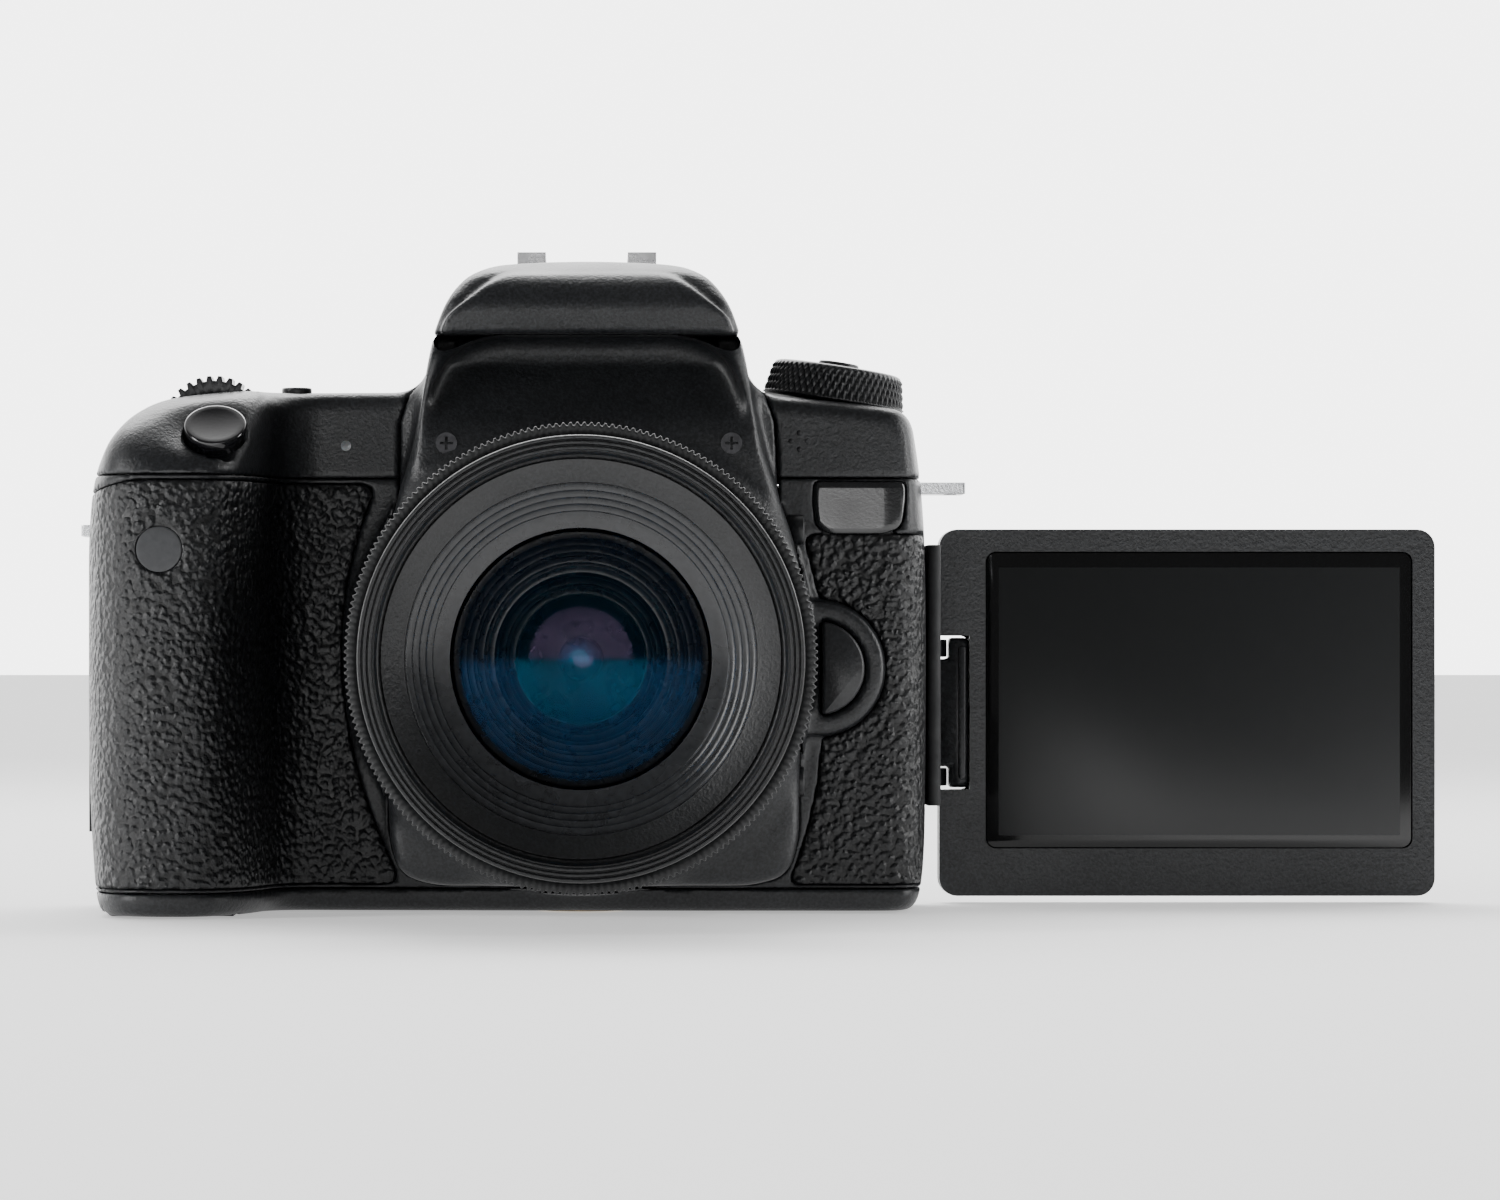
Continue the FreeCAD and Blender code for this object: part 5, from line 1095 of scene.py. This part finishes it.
def make_front_group(start, front, front_r):
    """Front tube with its ring, filter thread and stepped bezel, then the glass and what is behind it."""
    tube_r = front_r - 2.9
    seat = front - 8.6
    glass_r = half_width("front_glass")
    points = [(tube_r - 2.4, start, 0.0), (tube_r, start, 0.0), (tube_r, front - 2.6, 0.0),
              (front_r, front - 2.6, 0.25), (front_r, front - 0.75, 0.2)]
    ridge = front_r - 0.15
    for _ in range(3):
        points += [(ridge, front, 0.12), (ridge - 0.42, front, 0.12), (ridge - 0.52, front - 0.45, 0.0),
                   (ridge - 0.68, front - 0.45, 0.0)]
        ridge -= 0.74
    points += [(ridge, front - 0.35, 0.0), (front_r - 2.4, front - 0.7, 0.0)]
    depth = 0.9
    while depth < 3.2:
        points += [(front_r - 2.75, front - depth - 0.2, 0.0), (front_r - 2.4, front - depth - 0.55, 0.0)]
        depth += 0.75
    points += [(front_r - 2.5, front - 3.9, 0.0), (front_r - 3.1, front - 4.3, 0.0),
               (front_r - 3.3, front - 3.7, 0.1)]
    bezel = front_r - 6.6
    points += [(bezel, front - 5.2, 0.1), (bezel - 0.03, seat - 0.8, 0.0), (tube_r - 2.4, seat - 1.2, 0.0)]
    piece = lathe("front_group", rounded_profile(points + [(tube_r - 2.4, start, 0.0)]), LENS_AT, FORWARD,
                  256)
    finish_piece(piece, "front", "lens_plastic", "front_group")
    piece.data.materials[0] = MATERIALS["lens_dark"]
    points = [(tube_r - 2.6, start, 0.0), (tube_r - 2.6, seat - 1.3, 0.0), (bezel - 0.06, seat - 1.3, 0.0),
              (bezel - 0.06, front - 5.4, 0.0)]
    bezel -= 0.06
    height = front - 5.4
    for _ in range(4):
        points += [(bezel - 0.03, height - 0.5, 0.0), (bezel - 0.95, height - 0.62, 0.08)]
        bezel -= 0.95
        height -= 0.72
    points += [(bezel - 0.05, seat - 0.2, 0.1), (glass_r + 1.5, seat - 0.6, 0.0),
               (glass_r + 0.1, seat - 0.8, 0.1),
               (glass_r + 0.1, start + 16.0, 0.0), (tube_r - 2.6, start + 15.0, 0.0),
               (tube_r - 2.6, start, 0.0)]
    piece = lathe("front_steps", rounded_profile(points), LENS_AT, FORWARD, 256)
    finish_piece(piece, "front", "lens_plastic")
    piece.data.materials[0] = BAFFLE
    apex = LENS_AXIS[1] - box_mm("front_glass")[0][1]
    dome = 42.0
    steps = 18
    cap = [(glass_r * k / steps, apex - (dome - math.sqrt(dome ** 2 - (glass_r * k / steps) ** 2)))
           for k in range(steps + 1)]
    piece = lathe("front_glass", cap + [(glass_r, cap[-1][1] - 0.5)], LENS_AT, FORWARD, 160)
    finish_piece(piece, "front", "optical_glass", "front_glass")
    make_baffles(apex, glass_r)


def make_baffles(apex, glass_r):
    """Stepped rings and inner elements behind the front glass."""
    bottom = apex - 31.0
    points = [(glass_r, apex - 8.4, 0.0), (glass_r, apex - 5.3, 0.1), (glass_r - 1.3, apex - 5.6, 0.12),
              (glass_r - 1.5, apex - 6.4, 0.0), (glass_r - 2.2, apex - 6.5, 0.1)]
    radius = glass_r - 2.2
    height = apex - 6.5
    rings = 9
    for k in range(rings):
        drop = 0.9 + 0.14 * k
        shelf = 0.50 if k % 2 else 0.95
        points += [(radius - 0.03, height - drop, 0.0), (radius - shelf, height - drop - 0.12, 0.08)]
        radius -= shelf
        height -= drop + 0.12
    points += [(radius - 0.1, bottom + 2.0, 0.0), (3.2, bottom + 1.0, 0.3), (3.0, bottom, 0.0),
               (0.0, bottom, 0.0)]
    piece = lathe("lens_baffles", rounded_profile(points, 3), LENS_AT, FORWARD, 192)
    finish_piece(piece, "front", "lens_plastic")
    piece.data.materials[0] = BAFFLE
    for name, finish, reach, height, dome in (("inner_element", INNER_GLASS, 13.4, apex - 10.4, 26.0),
                                              ("deep_element", DEEP_GLASS, 9.0, apex - 17.0, -24.0)):
        steps = 14
        sign = 1 if dome > 0 else -1
        cap = [(reach * k / steps, height - sign * (abs(dome) - math.sqrt(dome ** 2 - (reach * k / steps) ** 2)))
               for k in range(steps + 1)]
        piece = lathe(name, cap, LENS_AT, FORWARD, 128)
        finish_piece(piece, "front", "optical_glass")
        piece.data.materials[0] = finish


# ---- dials and buttons ---------------------------------------------------------------------------
def make_dials():
    centre = DIAL_AT.copy()
    centre[1] = DIAL_LOW[1]
    radius = (DIAL_HIGH[0] - DIAL_LOW[0]) / 2
    width = DIAL_HIGH[1] - DIAL_LOW[1]
    profile = ring_profile(0.0, width, radius, 2.0, 0.5, [0.7, width - 0.7])
    piece = lathe("main_dial", profile, centre, (0, 1, 0), 30 * 12,
                  ribs(30, 0.75, -0.1, width + 0.1, radius - 1.2, 0.5))
    finish_piece(piece, "main_dial_body", "button_plastic", "main_dial")
    base = MODE_AT + MODE_AXIS * GAP
    rise = MODE_RISE - GAP
    rows = np.linspace(0.5, rise - 0.9, 18)
    points = [(0.0, -6.0), (4.0, -6.0), (4.0, 0.0), (MODE_R - 0.4, 0.0), (MODE_R, 0.3)]
    points += [(MODE_R - 1.0 * (row / rise), row) for row in rows]
    points += [(MODE_TOP_R - 0.1, rise - 0.6), (MODE_TOP_R - 0.35, rise - 0.2), (MODE_TOP_R - 0.8, rise),
               (MODE_TOP_R - 1.2, rise), (MODE_TOP_R - 1.4, rise - 0.15), (3.5, rise - 0.15),
               (3.3, rise - 0.35),
               (3.3, rise - 2.4), (0.0, rise - 2.4)]

    def diamonds(angles, h, r):
        if not (0.45 <= h <= rise - 0.85) or r[0] < MODE_TOP_R - 0.2:
            return r
        turns = 30
        lean = 1.35
        cross = np.abs(np.sin(angles * turns + h * lean)) * np.abs(np.sin(angles * turns - h * lean))
        return r - 0.62 + 0.62 * np.sqrt(cross)

    piece = lathe("mode_dial", points, base, MODE_AXIS, 600, diamonds)
    finish_piece(piece, "mode_dial_body", "button_plastic", "mode_dial")
    make_mode_marks(base + MODE_AXIS * (rise - 0.15))
    lock_top, lock_r = round_end("mode_lock_button", MODE_AXIS)
    cap = rounded_profile([(0.0, -2.4, 0), (lock_r, -2.4, 0), (lock_r, 0.0, 0.4),
                           (lock_r - 1.0, -0.05, 0.2), (0.0, -0.3, 0)])
    finish_piece(lathe("mode_lock_button", cap, lock_top, MODE_AXIS, 64), "mode_lock", "button_plastic",
                 "mode_lock_button")
    low = CONTROL_LOW[1]
    high = CONTROL_HIGH[1]
    deep = high - low
    ring = rounded_profile([(PAD_R + 0.25, 0.0, 0), (CONTROL_R, 0.0, 0), (CONTROL_R, deep - 0.9, 0.4),
                            (CONTROL_R - 1.6, deep, 0.3), (PAD_R + 1.4, deep - 0.2, 0.4),
                            (PAD_R + 0.25, deep - 0.9, 0.2),
                            (PAD_R + 0.25, 0.0, 0)])
    at = np.array([CONTROL_X, low, CONTROL_Z])

    def notches(angles, h, r):
        if r[0] < CONTROL_R - 0.9 or h < 0.2:
            return r
        return r - 0.28 * (0.5 + 0.5 * np.cos(angles * 60)) ** 2

    finish_piece(lathe("control_dial", ring, at, (0, 1, 0), 360, notches), "control_dial_body",
                 "button_plastic", "control_dial")


def flat_mark(outline, at, right, up):
    """Printed mark's outline set at a place, in its own right and up directions."""
    return [at + right * a + up * b for a, b in outline]


def marks_object(name, patches, body, slot, material):
    """One object from several flat patches, each a loop of points."""
    points = []
    faces = []
    for patch in patches:
        faces.append(tuple(range(len(points), len(points) + len(patch))))
        points += patch
    piece = mesh_object(name, points, faces, smooth=False)
    finish_piece(piece, body, slot)
    piece.data.materials[0] = material
    return piece


def bar(w, h, x=0.0, y=0.0):
    return [(x - w / 2, y - h / 2), (x + w / 2, y - h / 2), (x + w / 2, y + h / 2), (x - w / 2, y + h / 2)]


def dot(r, x=0.0, y=0.0, count=14):
    return [(x + r * math.cos(2 * math.pi * k / count), y + r * math.sin(2 * math.pi * k / count))
            for k in range(count)]


def make_mode_marks(top):
    """Plain symbols round the mode dial."""
    across = np.cross(MODE_AXIS, [0.0, 1.0, 0.0])
    across = across / np.linalg.norm(across)
    up = np.cross(MODE_AXIS, across)
    shapes = [[bar(1.3, 0.3)], [dot(0.5)], [[(-0.6, -0.5), (0.6, -0.5), (0.0, 0.6)]],
              [bar(1.2, 0.25, 0, 0.3), bar(1.2, 0.25, 0, -0.3)], [bar(0.9, 0.9)], [bar(0.3, 1.3)],
              [dot(0.28, -0.4), dot(0.28, 0.4)], [bar(1.3, 0.3), bar(0.3, 1.2)], [bar(1.1, 0.6)],
              [dot(0.38, 0, 0.1)],
              [[(-0.6, 0.5), (0.0, -0.6), (0.6, 0.5)]], [bar(0.25, 1.0, -0.4), bar(0.25, 1.0, 0.4)]]
    marks_r = 6.3
    lift = 0.04
    patches = []
    for k, group in enumerate(shapes):
        angle = 2 * math.pi * k / len(shapes)
        out = across * math.cos(angle) + up * math.sin(angle)
        side = np.cross(MODE_AXIS, out)
        for outline in group:
            patches.append(flat_mark(outline, top + out * marks_r + MODE_AXIS * lift, side, out))
    marks_object("mode_dial_marks", patches, "mode_dial_body", "button_plastic", PRINT)


def round_button(name, body, slot, direction, dish=0.12, corner=0.35):
    """Turned push button with a slightly dished top, in place of its CAD node."""
    centre, radius = round_end(name, direction)
    depth = 2.4
    cap = rounded_profile([(0.0, -depth, 0), (radius, -depth, 0), (radius, 0.0, corner),
                           (radius - 0.9, -0.02, 0.2),
                           (0.0, -dish, 0)], 5)
    return finish_piece(lathe(name, cap, centre, direction, 64), body, slot, name)


def make_buttons():
    round_button("shutter_button", "shutter_button_body", "gloss_black", SHUTTER_AXIS, 0.35, 0.5)
    for name in REAR_BUTTONS:
        round_button(name, name + "_body", "button_plastic", (0, 1, 0))
    for name in SIDE_BUTTONS:
        round_button(name, name + "_body", "button_plastic", (1, 0, 0))
    round_button("display_light_button", "display_light_button_body", "button_plastic", (0, 0, 1))
    y0 = RELEASE_LOW[1]
    flat = RELEASE_LOW[0]
    start = math.acos((flat - RELEASE_X) / RELEASE_R)
    outline = [(RELEASE_X + RELEASE_R * math.cos(a), RELEASE_Z + RELEASE_R * math.sin(a))
               for a in np.linspace(-start, start, 40)]
    piece = prism("lens_release_button", outline, y0, RELEASE_HIGH[1], 0.9)
    finish_piece(piece, "lens_release_body", "button_plastic", "lens_release_button")


# ---- screen ----------------------------------------------------------------------------------------
def notched(x0, x1, z0, z1, radius, notch_x, low, high, steps=6):
    """Rounded rectangle with points for a notch in its left side."""
    base = rounded_rectangle(x0, x1, z0, z1, radius, steps)
    cut = 3 * (steps + 1)
    return base[:cut] + [(x0, high), (notch_x, high), (notch_x, low), (x0, low)] + base[cut:]


def frame_plate(name, outer, inner, y0, y1, bevel):
    """Plate between two outlines with the same number of points."""
    count = len(outer)
    points = []
    for ring, y in ((outer, y0), (inner, y0), (outer, y1), (inner, y1)):
        points += [(x, y, z) for x, z in ring]
    faces = []
    for i in range(count):
        n = (i + 1) % count
        faces.append((i, n, count + n, count + i))
        faces.append((2 * count + i, 3 * count + i, 3 * count + n, 2 * count + n))
        faces.append((i, 2 * count + i, 2 * count + n, n))
        faces.append((count + i, count + n, 3 * count + n, 3 * count + i))
    piece = mesh_object(name, points, faces)
    weld(piece)
    soften(piece, bevel)
    return piece


def make_screen():
    low, high = SCREEN_LOW, SCREEN_HIGH
    arm_low, arm_high = box_mm("hinge_arm")
    glass_low, glass_high = box_mm("screen_display")
    notch_x = joint_point("screen_tilt")[0] + 0.12
    middle = (low[2] + high[2]) / 2
    half = math.hypot((arm_high[2] - arm_low[2]) / 2, 3.2) + 0.15
    corner = 2.8
    back_outline = notched(low[0], high[0], low[2], high[2], corner, notch_x, middle - half, middle + half)
    split = low[1]
    piece = prism("screen_back", back_outline, split + 0.06, high[1], 1.1)
    finish_piece(piece, "screen", "cover_plastic", "screen_back")
    inner = rounded_rectangle(glass_low[0] - 0.08, glass_high[0] + 0.08, glass_low[2] - 0.08,
                              glass_high[2] + 0.08, 1.6)
    cut = 3 * 7
    left = glass_low[0] - 0.08
    extra = [(left, middle + half), (left, middle + half * 0.5), (left, middle - half * 0.5),
             (left, middle - half)]
    inner = inner[:cut] + extra + inner[cut:]
    piece = frame_plate("screen_bezel", back_outline, inner, SCREEN_FRONT, split - 0.06, 0.7)
    finish_piece(piece, "screen", "cover_plastic", "screen_bezel")
    pane = rounded_rectangle(glass_low[0], glass_high[0], glass_low[2], glass_high[2], 1.6)
    piece = prism("screen_display", pane, glass_low[1] + 0.02, split, 0.15)
    finish_piece(piece, "screen", "display_glass", "screen_display")
    nub = lathe("screen_nub", [(0.0, 0.0), (0.9, 0.0), (0.7, 0.7), (0.0, 0.8)],
                ((low[0] + high[0]) / 2 + 22.0, HINGE[1] + 1.2, low[2] + 0.75), (0, 0, -1), 24)
    finish_piece(nub, "screen", "soft_rubber")
    make_hinge(arm_low, arm_high)


def make_hinge(arm_low, arm_high):
    """Hinge arm with its barrel, and the fixed knuckles it turns between."""
    radius = 3.1
    knuckle = 2.8
    barrel_low = arm_low[2] + knuckle + GAP
    barrel_high = arm_high[2] - knuckle - GAP
    profile = rounded_profile([(0.0, 0.0, 0), (radius, 0.0, 0.3), (radius, barrel_high - barrel_low, 0.3),
                               (0.0, barrel_high - barrel_low, 0)])
    piece = lathe("hinge_barrel", profile, (HINGE[0], HINGE[1], barrel_low), (0, 0, 1), 64)
    finish_piece(piece, "screen_arm", "cover_plastic")
    end = joint_point("screen_tilt")[0]
    web = [(HINGE[0] + 1.0, barrel_low), (HINGE[0] + 3.5, barrel_low), (HINGE[0] + 3.5, arm_low[2]),
           (end, arm_low[2]),
           (end, arm_high[2]), (HINGE[0] + 3.5, arm_high[2]), (HINGE[0] + 3.5, barrel_high),
           (HINGE[0] + 1.0, barrel_high)]
    piece = prism("hinge_arm", web, arm_low[1] + 0.05, arm_high[1], 0.8)
    finish_piece(piece, "screen_arm", "cover_plastic", "hinge_arm")
    reach = math.hypot((arm_high[2] - arm_low[2]) / 2, 3.2)
    ends = ((HINGE[0] + radius + 0.2, arm_low[1] + 0.2, HINGE[2] - reach),
            (end - 0.1, arm_high[1] - 0.1, HINGE[2] + reach))

    def cap_field(x, y, z):
        disc = np.sqrt((y - HINGE[1]) ** 2 + (z - HINGE[2]) ** 2) - (reach - 0.05)
        return smooth_max(disc, block(x, y, z, ends[0], ends[1]), 0.5)

    finish_piece(net_mesh("hinge_cap", cap_field, *ends), "screen_arm", "cover_plastic")
    ridge = prism("hinge_ridge", rounded_rectangle(end - 1.7, end - 0.5, arm_low[2] + 1.0,
                                                   arm_high[2] - 1.0, 0.5),
                  arm_low[1] - 0.25, arm_low[1] + 0.6, 0.2)
    finish_piece(ridge, "screen_arm", "cover_plastic")
    pin = lathe("tilt_pin", [(0.0, 0.0), (1.9, 0.0), (1.9, 3.9), (0.0, 3.9)],
                (end - 0.4, HINGE[1], HINGE[2]), (1, 0, 0), 32)
    finish_piece(pin, "screen_arm", "steel")
    for name, z in (("hinge_knuckle_low", arm_low[2]), ("hinge_knuckle_high", arm_high[2] - knuckle)):
        outline = [(radius, 0.0, 0.25), (radius, knuckle, 0.25)]
        profile = rounded_profile([(0.0, 0.0, 0)] + outline + [(0.0, knuckle, 0)])
        piece = lathe(name, profile, (HINGE[0], HINGE[1], z), (0, 0, 1), 48)
        finish_piece(piece, "camera_body", "cover_plastic")
        foot = prism(name + "_foot", [(HINGE[0] - radius, z), (HINGE[0], z), (HINGE[0], z + knuckle),
                                      (HINGE[0] - radius, z + knuckle)],
                     SCREEN_FRONT - 0.6, HINGE[1], 0.2)
        finish_piece(foot, "camera_body", "cover_plastic")


# ---- small front and side pieces -------------------------------------------------------------------
def make_front_details():
    left, right = window_groups()
    for name, group, slot, dome, share, sink in (("remote_window", left, "lamp_window", 0.12, 1.0, 0.5),
                                                 ("red_eye_lamp", right, "lamp_clear", 0.35, 0.7, 0.25)):
        centre = (group.min(0) + group.max(0)) / 2
        outer = (group[:, 2].max() - group[:, 2].min()) / 2
        radius = outer * share
        at, facing = surface_spot(centre[0], centre[2])
        at = at - facing * sink
        face = [(radius * math.sin(a), dome * math.cos(a)) for a in np.linspace(math.pi / 2, 0, 9)]
        piece = lathe(name, [(0.0, -1.6), (radius, -1.6)] + face, at, facing, 64)
        finish_piece(piece, "camera_body", slot, *(["front_windows"] if name == "remote_window" else []))
        rim_r = radius + 0.35 if share == 1.0 else outer
        rim = rounded_profile([(radius + 0.02, -1.2, 0), (rim_r, -1.2, 0), (rim_r, 0.1, 0.1),
                               (radius + 0.02, -0.1, 0.1), (radius + 0.02, -1.2, 0)])
        finish_piece(lathe(name + "_rim", rim, at, facing, 64), "camera_body", "gloss_black")
    # mic holes: small dark rough rubber discs set on the surface, painted shade standing in for the holes' dark
    # insides; no opening is cut
    holes = []
    pitch = 1.25
    for x, z in ((-29.6, SEAM_TOP + 5.6), (33.2, SEAM_TOP + 5.6)):
        for dx, dz in ((0, pitch), (0, -pitch), (pitch, 0), (-pitch, 0)):
            holes.append((x + dx, z + dz))
    for k, (x, z) in enumerate(holes):
        y = surface_y(x, z)
        piece = lathe("mic_hole_shade_%d" % k, [(0.0, -0.5), (0.42, -0.5), (0.42, 0.05), (0.0, 0.03)], (x, y, z),
                      FORWARD, 16)
        finish_piece(piece, "camera_body", "soft_rubber")


# ---- stage -------------------------------------------------------------------------------------------
def area_light(name, at, target, size, power, tall, shape="RECTANGLE"):
    data = bpy.data.lights.new(name, "AREA")
    data.shape = shape
    data.size = size
    data.size_y = tall
    data.energy = power
    light = bpy.data.objects.new(name, data)
    light.location = at
    light.rotation_euler = (Vector(target) - Vector(at)).to_track_quat("-Z", "Y").to_euler()
    bpy.context.scene.collection.objects.link(light)


def make_world():
    """White studio, bright behind the object and dim in front of it."""
    world = bpy.data.worlds.new("studio")
    bpy.context.scene.world = world
    world.use_nodes = True
    tree = world.node_tree
    place = tree.nodes.new("ShaderNodeTexCoord")
    split = tree.nodes.new("ShaderNodeSeparateXYZ")
    tree.links.new(place.outputs["Generated"], split.inputs["Vector"])
    ramp = tree.nodes.new("ShaderNodeMapRange")
    tree.links.new(split.outputs["Y"], ramp.inputs["Value"])
    for name, number in (("From Min", 0.05), ("From Max", 0.92), ("To Min", 0.17), ("To Max", 5.0)):
        ramp.inputs[name].default_value = number
    ground = tree.nodes["Background"]
    ground.inputs["Color"].default_value = (1.0, 1.0, 1.0, 1.0)
    tree.links.new(ramp.outputs["Result"], ground.inputs["Strength"])


def make_stage():
    floor_material = Finish("stage_floor", roughness=0.9, specular=0.1)
    floor_material.colour(floor_material.noise(3.0, 2.0),
                          [(0.3, (0.88, 0.88, 0.88)), (0.7, (0.92, 0.92, 0.92))])
    floor_material.shader.inputs["Emission Color"].default_value = (1.0, 1.0, 1.0, 1.0)
    floor_material.shader.inputs["Emission Strength"].default_value = 0.5
    side = 14.0
    mesh = bpy.data.meshes.new("stage_floor")
    mesh.from_pydata([(-side, -side, -0.0002), (side, -side, -0.0002), (side, side, -0.0002),
                      (-side, side, -0.0002)],
                     [], [(0, 1, 2, 3)])
    floor = bpy.data.objects.new("stage_floor", mesh)
    mesh.materials.append(floor_material.material)
    bpy.context.scene.collection.objects.link(floor)
    make_world()
    target = (0.0, 0.0, 0.045)
    area_light("top_softbox", (-0.05, 0.62, 0.80), target, 0.8, 8.0, 0.4)
    area_light("left_softbox", (-0.80, -0.42, 0.26), target, 0.22, 6.0, 0.8)
    area_light("right_softbox", (0.95, -0.10, 0.28), target, 0.22, 5.0, 0.7)
    area_light("front_fill", (-0.03, -1.40, 0.02), target, 0.32, 0.9, 0.32, "DISK")
    camera = bpy.data.cameras.new("camera")
    camera.lens = 148.5
    camera.sensor_width = 36.0
    camera.shift_x = 0.1127
    camera.shift_y = 0.0393
    camera.clip_start = 0.05
    camera.clip_end = 60.0
    holder = bpy.data.objects.new("camera", camera)
    holder.location = (0.0, -0.95, AXIS_Z * MM)
    holder.rotation_euler = (math.pi / 2, 0.0, 0.0)
    bpy.context.scene.collection.objects.link(holder)
    bpy.context.scene.camera = holder


dress_frame()
make_covers()
make_lens()
make_dials()
make_buttons()
make_screen()
make_front_details()
for node_name, width in (("eyecup", 1.3), ("hot_shoe", 0.15), ("card_door", 0.3), ("terminal_cover_front", 0.3),
                         ("terminal_cover_rear", 0.3), ("battery_door", 0.25), ("strap_lugs", 0.35),
                         ("status_display", 0.15), ("power_switch", 0.3), ("dioptre_knob", 0.3)):
    edge_break(node_name, width)
make_stage()
